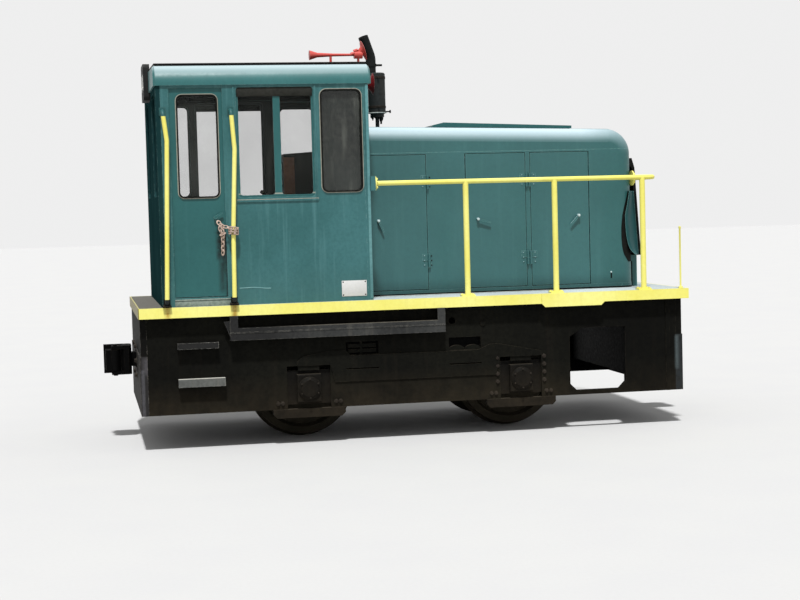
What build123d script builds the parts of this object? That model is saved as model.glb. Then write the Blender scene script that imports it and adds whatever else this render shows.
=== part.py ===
from build123d import *
import os

os.makedirs("parts", exist_ok=True)

# A four-wheeled narrow-gauge diesel switching locomotive, in millimetres.
# +X is the front (hood end), -X the rear (cab end), -Y the right side, +Z up.
# The origin is under the middle of the deck, level with the flange tips.
# Names that end in _height, _low or _high are above the rail, which is one flange higher.

# Clearances
running_gap = 0.3
moving_gap = 6.0
far_edge_gap = 9.0

# Wheels and axles
wheel_diameter = 914.0
flange_height = 28.0
flange_thickness = 32.0
tread_width = 135.0
rim_depth = 62.0
back_to_back = 850.0
wheelbase = 1900.0
wheelbase_middle_x = -57.0
web_thickness = 34.0
web_flare = 28.0
hub_diameter = 250.0
hub_length = 165.0
axle_diameter = 150.0
journal_diameter = 118.0
journal_shoulder_inset = 185.0

# Frame
deck_height = 1200.0
frame_length = 4900.0
deck_width = 2130.0
deck_thickness = 12.0
edge_band_height = 90.0
edge_band_thickness = 12.0
side_plate_inset = 80.0
side_plate_thickness = 50.0
frame_low = 278.0
end_plate_thickness = 63.0
front_end_inset = 37.0
rear_end_inset = 5.0
end_plate_step_height = 784.0
end_plate_step = 8.0
front_flange_width = 36.0
front_flange_inset = 60.0
front_flange_depth = 8.0
stretcher_thickness = 25.0
stretcher_low = 420.0

# Deck doubler, a plate welded over the edge band
doubler_rear_x = 1075.0
doubler_front_x = 1654.0
doubler_drop = 30.0
doubler_thickness = 10.0

# Pedestals, axle boxes and binder bars
pedestal_width = 380.0
pedestal_high = 610.0
notch_width = 98.0
notch_rise = 40.0
box_body_drop = 140.0
box_body_inset = 25.0
box_face_width = 210.0
box_face_height = 241.0
box_depth = 115.0
box_face_reach = 30.0
box_cover_diameter = 196.0
box_cover_depth = 34.0
box_wall = 34.0
binder_length = 630.0
binder_height = 75.0
binder_depth = 70.0

# Equalizer bars between the axle boxes, with a spring pocket and a slot over each end
equalizer_depth = 10.0
equalizer_low = 495.0
equalizer_high = 722.0
equalizer_crest = 770.0
equalizer_crest_length = 140.0
equalizer_ramp = 40.0
pocket_rear_offset = 330.0
pocket_front_offset = -650.0
pocket_width = 290.0
pocket_low = 727.0
pocket_high = 840.0
pocket_depth = 34.0
slot_height = 12.0
slot_level = 606.0
slot_depth = 20.0
side_hole_diameter = 62.0
side_hole_x = 277.0
side_hole_height = 988.0
boss_diameter = 45.0
boss_x = 553.0
boss_height = 956.0

# Front opening in each side plate
window_rear_x = 1350.0
window_front_x = 1870.0
window_low = 318.0
window_high = 877.0
window_slant_length = 110.0
window_slant_drop = 77.0
window_chamfer = 60.0

# Cab
cab_rear_x = -2242.0
cab_front_x = -430.0
cab_inset = 40.0
cab_wall = 40.0
eave_height = 3068.0
roof_edge_height = 3250.0
roof_crown = 24.0
roof_side_radius = 180.0
roof_side_overhang = 14.0
roof_rear_overhang = 14.0
roof_front_overhang = 33.0
roof_end_radius = 30.0
roof_thickness = 30.0
opening_corner = 55.0
floor_thickness = 30.0

# Cab openings of the right side
door_rear_x = -2136.0
door_front_x = -1663.0
door_low = 1275.0
door_high = 3052.0
door_window_rear_margin = 65.0
door_window_front_margin = 61.0
door_window_low = 2119.0
door_window_high = 2991.0
door_window_corner = 50.0
slider_rear_x = -1566.0
slider_front_x = -905.0
slider_low = 2113.0
slider_high = 3047.0
slider_corner = 30.0
slider_bar_shift = 14.0
fixed_rear_x = -847.0
fixed_front_x = -489.0
fixed_low = 2141.0
fixed_high = 3022.0
sash_bar_width = 60.0
sash_frame = 18.0
sash_depth = 14.0
sash_corner = 26.0
glass_thickness = 6.0
rear_window_width = 520.0
rear_window_y = 560.0
front_window_width = 300.0
front_window_y = 800.0

# Cab door hardware
door_stop_width = 20.0
door_stop_thickness = 8.0
door_hinge_levels = (1500.0, 2180.0, 2860.0)
door_hinge_length = 120.0
door_hinge_barrel = 20.0
door_hinge_pin = 9.0
door_hinge_reach = 12.0
door_hinge_leaf = 4.0
door_swing_gap = 10.0
door_handle_x = -1769.0
door_handle_height = 1952.0

# Hood
hood_width = 1100.0
hood_front_x = 2130.0
hood_wall = 30.0
hood_height_cab = 2727.0
hood_fall = 57.0
hood_front_radius = 235.0
hood_shoulder_radius = 130.0
hood_cover_drop = 190.0
hood_sill = 45.0

# Hood doors: name, rear x, front x, way from the hinge to the leaf, handle x, height, lever dx, dz
hood_doors = (
    ("a", -385.0, 170.0, -1, -278.0, 1877.0, 43.0, -102.0),
    ("b", 534.0, 1095.0, -1, 640.0, 1869.0, 116.0, -35.0),
    ("c", 1141.0, 1697.0, 1, 1591.0, 1878.0, -77.0, -78.0),
)
hinge_heights = (2214.0, 1507.0)
hinge_length = 120.0
hinge_barrel = 22.0
hinge_pin = 10.0
hinge_offset = 9.0
hinge_strap = 4.0
hinge_leaf_width = 60.0
handle_reach = 30.0

# Vent cover on the hood
vent_rear_x = 313.0
vent_front_x = 1651.0
vent_width = 420.0
vent_slope_length = 110.0
vent_rear_height = 58.0
vent_front_height = 40.0
vent_base_height = 16.0
vent_base_inset = 30.0

# Radiator guard on the hood front
guard_width = 800.0
guard_frame = 45.0
guard_low = 1490.0
guard_high = 2395.0
guard_light_high = 2120.0
guard_shoulder_drop = 90.0
guard_depths = (40.0, 66.0, 116.0)
apron_depth = 72.0
apron_wall = 12.0
slat_count = 11
slat_thickness = 6.0
slat_width = 62.0
slat_angle = 35.0
slat_setback = 14.0
radiator_depth = 120.0
radiator_gap = 10.0

# Handrails
rail_diameter = 42.0
rail_inset = 50.0
rail_height = 2207.0
rail_front_x = 2165.0
rail_bend = 75.0
rail_return_inset = 60.0
rail_post_xs = (420.0, 1228.0, 2045.0)
post_diameter = 50.0
post_flange_diameter = 119.0
rail_flange_thickness = 12.0
wall_flange_diameter = 123.0
bracket_depth = 41.0
front_flange_diameter = 138.0

# Grab rails beside the cab doors
grab_diameter = 38.0
grab_standoff = 60.0
grab_low = 1222.0
grab_high = 2850.0
grab_bend = 45.0

# Roof fittings
muffler_diameter = 160.0
muffler_x = -157.0
muffler_low = 2864.0
muffler_high = 3240.0
muffler_flange_drop = 30.0
muffler_chamfer = 10.0
stud_diameter = 36.0
pipe_diameter = 92.0
pipe_wall = 5.0
pipe_x = -205.0
pipe_bend_height = 3385.0
pipe_top_height = 3570.0
pipe_lean = 85.0
pipe_turn = 30.0
pipe_bend = 150.0
clamp_height = 3312.0
clamp_width = 26.0
clamp_reach = 58.0
horn_height = 3362.0
horn_y = -500.0
horn_bell_x = -849.0
horn_base_x = -372.0
horn_driver_length = 75.0
horn_driver_diameter = 70.0
horn_tube_diameter = 22.0
horn_bell_diameter = 88.0
front_horn_height = 3101.0
front_horn_diameter = 192.0
front_horn_length = 112.0

# Lamps
lamp_diameter = 190.0
lamp_rim = 12.0
lamp_height = 2255.0
lamp_front_gap = 4.0
lamp_box_width = 400.0
lamp_box_low = 3003.0
lamp_box_high = 3327.0
lamp_box_rear_x = -2300.0
lamp_box_radius = 40.0
lamp_lens_diameter = 150.0
lamp_lens_depth = 22.0

# Side equipment
channel_rear_x = -1679.0
channel_front_x = 195.0
channel_low = 900.0
channel_high = 1003.0
channel_depth = 95.0
channel_wall = 10.0
channel_end_width = 66.0
channel_ridge_height = 965.0
gusset_length = 52.0
gusset_high = 1063.0
gusset_low = 930.0
step_rear_x = -2127.0
step_depth = 66.0
step_plate = 10.0

# Couplers
coupler_height = 690.0
shank_width = 124.0
head_height = 260.0
head_width = 240.0
head_depth = 90.0
head_reach = 40.0
knuckle_pin_reach = 185.0
knuckle_pin_y = 75.0
knuckle_pin_diameter = 40.0
knuckle_barrel = 90.0
knuckle_height = 190.0
guard_arm_outer = 140.0
guard_arm_inner = 90.0
lug_height = 30.0
pocket_wall = 38.0
pocket_length = 260.0
end_opening = 250.0

# Engine, motor and radiator
engine_rear_x = 0.0
engine_front_x = 1420.0
engine_width = 620.0
engine_height = 900.0
motor_width = 660.0
motor_gap = 40.0
hanger_height = 100.0

# Seat and control stand
seat_x = -1310.0
seat_y = 470.0
seat_height = 1700.0
seat_width = 400.0
seat_back_height = 2080.0
seat_cushion_thickness = 90.0
stand_rear_x = -1080.0
stand_length = 440.0
stand_width = 600.0
stand_height = 2500.0
stand_slope = 26.0

# Worked-out levels and places
rail_level = flange_height
deck_top = rail_level + deck_height
deck_under = deck_top - deck_thickness
half_length = frame_length / 2
half_deck = deck_width / 2
axle_z = rail_level + wheel_diameter / 2
axle_xs = (wheelbase_middle_x - wheelbase / 2, wheelbase_middle_x + wheelbase / 2)
side_outer_y = half_deck - side_plate_inset
side_inner_y = side_outer_y - side_plate_thickness
frame_bottom = rail_level + frame_low
front_plate_x = half_length - front_end_inset
rear_plate_x = half_length - rear_end_inset
band_low = deck_top - edge_band_height
box_inner_y = side_outer_y + box_face_reach - box_depth - box_face_reach
box_outer_y = side_outer_y + box_face_reach
box_top = rail_level + pedestal_high - running_gap
journal_shoulder_y = side_outer_y - journal_shoulder_inset
half_cab = half_deck - cab_inset
cab_middle_x = (cab_rear_x + cab_front_x) / 2
cab_eave = rail_level + eave_height
roof_edge = rail_level + roof_edge_height
roof_top = roof_edge + roof_crown
roof_rear_x = cab_rear_x - roof_rear_overhang
roof_front_x = cab_front_x + roof_front_overhang
half_roof = half_cab + roof_side_overhang
half_hood = hood_width / 2
hood_inner_y = half_hood - hood_wall
hood_top_cab = rail_level + hood_height_cab
hood_base = deck_top + hood_sill
hood_slope = hood_fall / (hood_front_x - hood_front_radius - cab_front_x)
rail_z = rail_level + rail_height
rail_y = half_deck - rail_inset
coupler_z = rail_level + coupler_height
floor_top = deck_top + floor_thickness


def block(x0, x1, y0, y1, z0, z1):
    """A box between two corners."""
    size = (abs(x1 - x0), abs(y1 - y0), abs(z1 - z0))
    return Pos((x0 + x1) / 2, (y0 + y1) / 2, (z0 + z1) / 2) * Box(*size)


def rod_x(x0, x1, y, z, diameter):
    """A round bar along X."""
    return Pos((x0 + x1) / 2, y, z) * Rot(0, 90, 0) * Cylinder(diameter / 2, abs(x1 - x0))


def rod_y(x, y0, y1, z, diameter):
    """A round bar along Y."""
    return Pos(x, (y0 + y1) / 2, z) * Rot(90, 0, 0) * Cylinder(diameter / 2, abs(y1 - y0))


def rod_z(x, y, z0, z1, diameter):
    """A round bar along Z."""
    return Pos(x, y, (z0 + z1) / 2) * Cylinder(diameter / 2, abs(z1 - z0))


def extruded_y(face, y0, y1):
    """A face in the XZ plane made solid from y0 to y1."""
    low, high = min(y0, y1), max(y0, y1)
    return extrude(Pos(0, low, 0) * face, high - low, dir=(0, 1, 0))


def plate_xz(points, y0, y1):
    """A plate with a straight-sided outline in X and Z, from y0 to y1."""
    return extruded_y(make_face(Polyline(*[(x, 0, z) for x, z in points], close=True)), y0, y1)


def rounded_xz(x0, x1, z0, z1, y0, y1, radius):
    """A plate or cutter with a rounded rectangle in X and Z, from y0 to y1."""
    sketch = Plane.XZ * Pos((x0 + x1) / 2, (z0 + z1) / 2) * RectangleRounded(x1 - x0, z1 - z0, radius)
    return extruded_y(sketch, y0, y1)


def rounded_yz(y0, y1, z0, z1, x0, x1, radius):
    """A plate or cutter with a rounded rectangle in Y and Z, from x0 to x1."""
    sketch = Plane.YZ * Pos((y0 + y1) / 2, (z0 + z1) / 2) * RectangleRounded(y1 - y0, z1 - z0, radius)
    low, high = min(x0, x1), max(x0, x1)
    return extrude(Pos(low, 0, 0) * sketch, high - low, dir=(1, 0, 0))


def turned(points):
    """A turned piece about Z from (radius, height) points."""
    return revolve(make_face(Polyline(*[(r, 0, z) for r, z in points], close=True)), Axis.Z, 360)


def bent_rod(points, diameter, bend):
    """A round bar along straight runs with rounded bends."""
    path = FilletPolyline(*points, radius=bend)
    return sweep((path ^ 0) * Circle(diameter / 2), path)


def other_side(shape):
    """The left-hand copy of a piece on the right side of the frame."""
    return mirror(shape, Plane.XZ)


def other_cab_side(shape):
    """The copy of a cab piece turned half round the upright middle of the cab."""
    return Pos(cab_middle_x, 0, 0) * Rot(0, 0, 180) * Pos(-cab_middle_x, 0, 0) * shape


def save(name, shape):
    """Writes one piece."""
    export_step(shape, f"parts/{name}.step")


def save_set(name, shapes):
    """Writes like pieces that don't touch as one node."""
    save(name, Compound(children=list(shapes)))


# Wheelset: two wheels pressed on one axle, with a journal past each wheel
def wheel_profile():
    back = back_to_back / 2
    face = back + tread_width
    tread_radius = wheel_diameter / 2
    flange_radius = tread_radius + flange_height
    rim_radius = tread_radius - rim_depth
    web_radius = rim_radius - web_flare
    hub_radius = hub_diameter / 2
    web_back = back + (tread_width - web_thickness) / 2
    web_face = web_back + web_thickness
    outline = [
        (0.0, back),
        (hub_radius, back),
        (hub_radius + web_flare, web_back),
        (web_radius, web_back),
        (rim_radius, back),
        (flange_radius - flange_thickness / 3, back),
        (flange_radius, back + flange_thickness / 3),
        (tread_radius, back + flange_thickness),
        (tread_radius - flange_thickness / 5, face),
        (rim_radius, face),
        (web_radius, web_face),
        (hub_radius + web_flare, web_face),
        (hub_radius, back + hub_length),
        (0.0, back + hub_length),
    ]
    return turned(outline)


def make_wheelset(x):
    wheel = wheel_profile()
    journal_end = box_outer_y - box_wall - running_gap
    axle = rod_y(x, -journal_shoulder_y, journal_shoulder_y, axle_z, axle_diameter)
    axle += rod_y(x, -journal_end, journal_end, axle_z, journal_diameter)
    return axle + Pos(x, 0, axle_z) * Rot(90, 0, 0) * wheel + Pos(x, 0, axle_z) * Rot(-90, 0, 0) * wheel


save("wheelset_rear", make_wheelset(axle_xs[0]))
save("wheelset_front", make_wheelset(axle_xs[1]))


# Axle boxes: a body that slides between the pedestal legs, a raised face and a domed cover
def make_axle_box(x):
    half_body = pedestal_width / 2 - running_gap
    body_front = -side_outer_y + box_body_inset
    box = block(x - half_body, x + half_body, body_front, -box_inner_y, axle_z - box_body_drop, box_top)
    half_width, half_height = box_face_width / 2, box_face_height / 2
    box += block(
        x - half_width, x + half_width, -box_outer_y, body_front + 1, axle_z - half_height, axle_z + half_height
    )
    box = chamfer([e for e in box.edges() if abs(e.center().Y + box_outer_y) < 1], 8.0)
    radius = box_cover_diameter / 2
    rim, depth = box_cover_depth * 0.4, box_cover_depth
    dome = [(0, 0), (radius, 0), (radius, rim), (radius * 0.72, depth), (0, depth)]
    box += Pos(x, -box_outer_y, axle_z) * Rot(90, 0, 0) * turned(dome)
    return box - rod_y(x, -box_outer_y + box_wall, -box_inner_y + 1, axle_z, journal_diameter + 2 * running_gap)


right_boxes = [make_axle_box(x) for x in axle_xs]
save_set("axle_boxes", [*right_boxes, *[other_side(box) for box in right_boxes]])


# Side plates: pedestals for the boxes, the front opening, spring pockets, slots and the equalizer bar
def pedestal_cut(x):
    half = pedestal_width / 2
    outer, inner = -side_outer_y - 2 * equalizer_depth, -side_inner_y + 1
    high = rail_level + pedestal_high
    cut = block(x - half, x + half, outer, inner, frame_bottom - 1, high)
    for corner in (x - half, x + half - notch_width):
        cut += block(corner, corner + notch_width, outer, inner, high - 1, high + notch_rise)
    return cut


def front_opening():
    low, high = rail_level + window_low, rail_level + window_high
    outline = [
        (window_rear_x + window_chamfer, low),
        (window_front_x - window_chamfer, low),
        (window_front_x, low + window_chamfer),
        (window_front_x, high),
        (window_rear_x + window_slant_length, high),
        (window_rear_x, high - window_slant_drop),
        (window_rear_x, low + window_chamfer),
    ]
    return plate_xz(outline, -side_outer_y - 1, -side_inner_y + 1)


def equalizer_bar():
    """The raised bar from over one axle box to over the other, with a crest at each end."""
    rear, front = axle_xs
    reach = pedestal_width / 2
    top, crest = rail_level + equalizer_high, rail_level + equalizer_crest
    low = rail_level + equalizer_low
    over = rail_level + pedestal_high + notch_rise
    crest_rear, crest_front = rear + reach, front - reach - 20.0
    outline = [
        (rear - reach / 2, over),
        (rear - reach / 2, over + equalizer_ramp),
        (rear - reach / 4, crest - equalizer_ramp),
        (crest_rear, crest),
        (crest_rear + equalizer_crest_length, crest),
        (crest_rear + equalizer_crest_length + equalizer_ramp, top),
        (crest_front - equalizer_crest_length - equalizer_ramp, top),
        (crest_front - equalizer_crest_length / 2, crest),
        (crest_front, crest),
        (front + reach, over + equalizer_ramp),
        (front + reach, over),
        (front - reach, over),
        (front - reach - equalizer_ramp, low),
        (rear + reach + equalizer_ramp, low),
        (rear + reach, over),
    ]
    return plate_xz(outline, -side_outer_y - equalizer_depth, -side_outer_y)


def spring_pocket(x):
    low, high = rail_level + pocket_low, rail_level + pocket_high
    return block(x, x + pocket_width, -side_outer_y - 1, -side_outer_y + pocket_depth, low, high)


def rear_spring(x):
    """Two stacked pads on each side of an upright, as they show in the rear pocket."""
    low, high = rail_level + pocket_low, rail_level + pocket_high
    outer, inner = -side_outer_y + 8.0, -side_outer_y + pocket_depth
    pad = (high - low) / 4
    upright = x + pocket_width * 0.47
    spring = block(upright - 9, upright + 9, outer, inner, low, high)
    for z in (low + pad * 0.6, low + pad * 2.2):
        spring += block(x + 22, x + pocket_width - 22, outer, inner, z, z + pad)
    return spring


def front_spring(x):
    """Two humps side by side, as they show in the front pocket."""
    low = rail_level + pocket_low
    outer, inner = -side_outer_y + 8.0, -side_outer_y + pocket_depth
    hump = pocket_width / 2
    spring = None
    for middle in (x + hump / 2, x + hump * 1.5):
        lens = rod_y(middle, outer, inner, low - hump * 0.45, hump * 1.5)
        lens &= block(middle - hump / 2 + 4, middle + hump / 2 - 4, outer, inner, low, low + hump)
        spring = lens if spring is None else spring + lens
    return spring


def make_side_plate():
    rear, front = -rear_plate_x + end_plate_thickness, front_plate_x - end_plate_thickness
    plate = block(rear, front, -side_outer_y, -side_inner_y, frame_bottom, deck_under)
    plate += equalizer_bar()
    for x in axle_xs:
        plate -= pedestal_cut(x)
    plate -= front_opening()
    rear_pocket = axle_xs[0] + pocket_rear_offset
    front_pocket = axle_xs[1] + pocket_front_offset
    slot = rail_level + slot_level
    for x in (rear_pocket, front_pocket):
        plate -= spring_pocket(x)
        plate -= block(
            x, x + pocket_width, -side_outer_y - 2 * equalizer_depth, -side_outer_y + slot_depth,
            slot - slot_height / 2, slot + slot_height / 2,
        )
    plate += rear_spring(rear_pocket)
    plate += front_spring(front_pocket)
    hole_z = rail_level + side_hole_height
    plate -= rod_y(side_hole_x, -side_outer_y - 1, -side_inner_y + 1, hole_z, side_hole_diameter)
    plate += rod_y(boss_x, -side_outer_y - 8, -side_outer_y, rail_level + boss_height, boss_diameter)
    strip_front = front - front_flange_inset
    plate += block(
        strip_front - front_flange_width, strip_front, -side_outer_y - front_flange_depth, -side_outer_y,
        frame_bottom, deck_under,
    )
    return plate


side_plate = make_side_plate()
save("frame_plate_right", side_plate)
save("frame_plate_left", other_side(side_plate))


# Binder bars that close the pedestals below the axle boxes
def make_binder(x):
    half = binder_length / 2
    outer = -side_outer_y + (side_plate_thickness - binder_depth) / 2
    bar = block(x - half, x + half, outer, outer + binder_depth, frame_bottom - binder_height, frame_bottom)
    lower_ends = bar.edges().filter_by(Axis.Y).sort_by(Axis.Z)[:2]
    return chamfer(lower_ends, binder_height * 0.4)


right_binders = [make_binder(x) for x in axle_xs]
save_set("binder_bars", [*right_binders, *[other_side(bar) for bar in right_binders]])


# End plates with the coupler opening, thicker below a step
def make_end_plate(outer_x):
    inner_x = outer_x - end_plate_thickness
    step_z = rail_level + end_plate_step_height
    plate = block(inner_x, outer_x, -side_outer_y, side_outer_y, frame_bottom, step_z)
    plate += block(inner_x, outer_x - end_plate_step, -side_outer_y, side_outer_y, step_z, deck_under)
    half = end_opening / 2
    return plate - rounded_yz(
        -half, half, coupler_z - head_height / 3, coupler_z + head_height / 3, inner_x - 1, outer_x + 1, 25.0
    )


save("end_plate_front", make_end_plate(front_plate_x))
save("end_plate_rear", mirror(make_end_plate(rear_plate_x), Plane.YZ))

# Cross plates between the sides, clear of the wheels
wheel_reach = wheel_diameter / 2 + flange_height + 90.0
stretcher_xs = (
    axle_xs[0] - wheel_reach,
    axle_xs[0] + wheel_reach + 100.0,
    axle_xs[1] - wheel_reach,
    front_plate_x - end_plate_thickness - 370.0,
)
save_set(
    "frame_stretchers",
    [
        block(
            x - stretcher_thickness / 2, x + stretcher_thickness / 2, -side_inner_y, side_inner_y,
            rail_level + stretcher_low, deck_under,
        )
        for x in stretcher_xs
    ],
)

# Deck plate and the band round its edge
inside_x = half_length - edge_band_thickness
inside_y = half_deck - edge_band_thickness
save("deck_plate", block(-inside_x, inside_x, -inside_y, inside_y, deck_under, deck_top))

band = block(-half_length, half_length, -half_deck, half_deck, band_low, deck_top)
band -= block(-inside_x, inside_x, -inside_y, inside_y, band_low - 1, deck_top + 1)
doubler_low = band_low - doubler_drop
doubler_outline = [
    (doubler_rear_x, deck_top),
    (doubler_rear_x, band_low),
    (doubler_rear_x + doubler_drop, doubler_low),
    (doubler_front_x - doubler_drop, doubler_low),
    (doubler_front_x, band_low),
    (doubler_front_x, deck_top),
]
doubler = plate_xz(doubler_outline, -half_deck - doubler_thickness, -half_deck)
save("deck_edge", band + doubler + other_side(doubler))


# Step boards hung under the deck edge: a channel with a ridge, two end brackets and a gusset
def make_side_channel():
    low, high = rail_level + channel_low, rail_level + channel_high
    outer = -side_outer_y - channel_depth
    wall = channel_wall
    channel = block(channel_rear_x, channel_front_x, outer, -side_outer_y, low, high)
    channel -= block(
        channel_rear_x - 1, channel_front_x + 1, outer + wall, -side_outer_y + 1, low - 1, high - wall
    )
    ridge = rail_level + channel_ridge_height
    channel += block(channel_rear_x, channel_front_x, outer - 4.0, outer, ridge - 5.0, ridge + 5.0)
    for x, way in ((channel_rear_x, 1), (channel_front_x, -1)):
        channel += block(x, x + way * channel_end_width, outer, outer + wall, low, band_low)
        channel += block(x, x + way * wall, outer, -side_outer_y, low, band_low)
    top, bottom = rail_level + gusset_high, rail_level + gusset_low
    gusset = [(channel_rear_x - gusset_length, top), (channel_rear_x, top), (channel_rear_x, bottom)]
    return channel + plate_xz(gusset, outer + 3 * wall, outer + 4 * wall)


side_channel = make_side_channel()
save_set("side_channels", [side_channel, other_side(side_channel)])

# Foot steps below the cab doors: length, height of the tread, height of its face
foot_steps = ((396.0, 584.0, 68.0), (347.0, 891.0, 51.0))


def make_foot_step(length, tread, face):
    outer = -side_outer_y - step_depth
    x0, x1 = step_rear_x, step_rear_x + length
    z1 = rail_level + tread
    step = block(x0, x1, outer, -side_outer_y, z1 - face, z1)
    return step - block(
        x0 + step_plate, x1 - step_plate, outer + step_plate, -side_outer_y + 1, z1 - face - 1, z1 - step_plate
    )


right_steps = [make_foot_step(*step) for step in foot_steps]
save_set("foot_steps", [*right_steps, *[other_side(step) for step in right_steps]])

# Traction motor hung on the front axle and on the cross plate behind it
motor_rear_x = stretcher_xs[2] + stretcher_thickness / 2 + motor_gap
motor_front_x = axle_xs[1] + axle_diameter / 2 + 55.0
motor_half = motor_width / 2
motor = block(motor_rear_x, motor_front_x, -motor_half, motor_half, axle_z - 190, axle_z + 250)
motor = chamfer(motor.edges().filter_by(Axis.Y), 60)
motor -= rod_y(axle_xs[1], -motor_half - 1, motor_half + 1, axle_z, axle_diameter + 2 * running_gap)
motor += block(motor_rear_x - motor_gap, motor_rear_x, -160, 160, axle_z, axle_z + hanger_height)
save("traction_motor", motor)

save(
    "engine_block",
    block(engine_rear_x, engine_front_x, -engine_width / 2, engine_width / 2, deck_top, deck_top + engine_height),
)


# Hood: a sloping top that turns down in a curve at the front, with rounded shoulders all round
def hood_top_at(x):
    """Height of the hood's top over a place along it."""
    return hood_top_cab - hood_slope * (x - cab_front_x)


def hood_form(inset, rear_x):
    """The hood's filled form, its wall taken off by the inset."""
    front = hood_front_x - inset
    radius = hood_front_radius - inset
    top_front = hood_top_at(front - radius) - inset
    outline = [
        Line((rear_x, 0, hood_top_at(rear_x) - inset), (front - radius, 0, top_front)),
        ThreePointArc(
            (front - radius, 0, top_front),
            (front - radius * 0.2929, 0, top_front - radius * 0.2929),
            (front, 0, top_front - radius),
        ),
        Line((front, 0, top_front - radius), (front, 0, deck_top)),
        Line((front, 0, deck_top), (rear_x, 0, deck_top)),
        Line((rear_x, 0, deck_top), (rear_x, 0, hood_top_at(rear_x) - inset)),
    ]
    half = half_hood - inset
    form = extruded_y(make_face(Curve() + outline), -half, half)
    shoulder = [
        e
        for e in form.edges()
        if abs(abs(e.center().Y) - half) < 1 and e.center().Z > deck_top + 1 and e.center().X > rear_x + 1
    ]
    return fillet(shoulder, hood_shoulder_radius - inset)


hood_seam = hood_top_at(hood_front_x - hood_front_radius) - hood_cover_drop
hood_outer = hood_form(0.0, cab_front_x)
hood_shell = hood_outer - hood_form(hood_wall, cab_front_x - 10.0)
above_seam = block(cab_front_x - 1, hood_front_x + 1, -half_hood - 1, half_hood + 1, hood_seam, hood_top_cab + 100)
save("hood_cover", hood_shell & above_seam)
hood_sides = hood_shell - above_seam

door_low_z = hood_base
door_high_z = hood_seam - 15.0
hinge_axis_y = -half_hood - hinge_barrel / 2 - 1.0


def lever_xz(x, z, dx, dz, y, width, thickness):
    """A flat lever from a pivot to its tip, in a plane across Y."""
    length = (dx * dx + dz * dz) ** 0.5
    across = (-dz / length * width / 2, dx / length * width / 2)
    outline = [
        (x + across[0], z + across[1]),
        (x + dx + across[0] * 0.6, z + dz + across[1] * 0.6),
        (x + dx - across[0] * 0.6, z + dz - across[1] * 0.6),
        (x - across[0], z - across[1]),
    ]
    return plate_xz(outline, y - thickness, y)


def hood_hinge(seam_x, way, height, moving):
    """One half of a hinge: the lower half on the post, or the upper half and pin on the leaf."""
    hinge_x = seam_x - way * hinge_offset
    z = rail_level + height
    z0, z1 = (z + 1, z + hinge_length / 2) if moving else (z - hinge_length / 2, z - 1)
    reach = way * hinge_leaf_width if moving else -way * (hinge_leaf_width / 2 - hinge_offset)
    half = block(hinge_x, hinge_x + reach, -half_hood - hinge_strap, -half_hood, z0, z1)
    half += rod_z(hinge_x, hinge_axis_y, z0, z1, hinge_barrel)
    if moving:
        return half + rod_z(hinge_x, hinge_axis_y, z - hinge_length / 2 + 10, z1, hinge_pin)
    return half - rod_z(hinge_x, hinge_axis_y, z0 - 1, z1 + 1, hinge_pin + 2 * running_gap)


for name, rear, front, way, handle_x, handle_height, lever_dx, lever_dz in hood_doors:
    seam_x = front if way < 0 else rear
    leaf_rear = rear + (far_edge_gap if way < 0 else moving_gap) / 2
    leaf_front = front - (moving_gap if way < 0 else far_edge_gap) / 2
    cut_rear = rear - (far_edge_gap if way < 0 else moving_gap) / 2
    cut_front = front + (moving_gap if way < 0 else far_edge_gap) / 2
    cut = block(cut_rear, cut_front, -half_hood - 1, -hood_inner_y + 1, door_low_z, door_high_z)
    hood_sides = hood_sides - cut - other_side(cut)
    leaf = block(
        leaf_rear, leaf_front, -half_hood, -hood_inner_y, door_low_z + moving_gap, door_high_z - moving_gap
    )
    for height in hinge_heights:
        leaf += hood_hinge(seam_x, way, height, True)
        fixed = hood_hinge(seam_x, way, height, False)
        hood_sides = hood_sides + fixed + other_side(fixed)
    handle_z = rail_level + handle_height
    leaf += rod_y(handle_x, -half_hood - handle_reach, -half_hood, handle_z, 26.0)
    leaf += lever_xz(handle_x, handle_z, lever_dx, lever_dz, -half_hood - handle_reach + 9, 20.0, 9.0)
    save(f"hood_door_{name}_right", leaf)
    save(f"hood_door_{name}_left", other_side(leaf))

# Radiator opening, guard and core at the front of the hood
guard_z0 = rail_level + guard_low
guard_z1 = rail_level + guard_high
guard_half = guard_width / 2
light_half = guard_half - guard_frame
light_z0, light_z1 = guard_z0 + guard_frame, rail_level + guard_light_high
lamp_z = rail_level + lamp_height
hood_sides -= block(hood_front_x - hood_wall - 1, hood_front_x + 1, -light_half, light_half, light_z0, light_z1)

# Apron below the guard, an open-bottomed box that stands on the deck
apron_front_x = hood_front_x + apron_depth
hood_sides += block(hood_front_x, apron_front_x, -guard_half, guard_half, deck_top, guard_z0)
hood_sides -= block(
    hood_front_x, apron_front_x - apron_wall, apron_wall - guard_half, guard_half - apron_wall,
    deck_top, guard_z0 - apron_wall,
)
save("hood_sides", hood_sides)

guard_outline = [
    (hood_front_x, guard_z0),
    (hood_front_x + guard_depths[2], guard_z0),
    (hood_front_x + guard_depths[1], guard_z1 - guard_shoulder_drop),
    (hood_front_x + guard_depths[0], guard_z1),
    (hood_front_x, guard_z1),
]
guard = plate_xz(guard_outline, -guard_half, guard_half)
guard -= block(hood_front_x - 1, hood_front_x + guard_depths[2] + 1, -light_half, light_half, light_z0, light_z1)
guard -= rod_x(hood_front_x, hood_front_x + guard_depths[2], 0, lamp_z, lamp_diameter + 2 * running_gap)
slat_pitch = (light_z1 - light_z0) / slat_count
for i in range(slat_count):
    z = light_z0 + slat_pitch * (i + 0.5)
    slat = Box(slat_width, 2 * light_half + 4.0, slat_thickness)
    guard += Pos(hood_front_x + slat_setback + slat_width / 2, 0, z) * Rot(0, slat_angle, 0) * slat
save("radiator_grille", guard)

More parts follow.
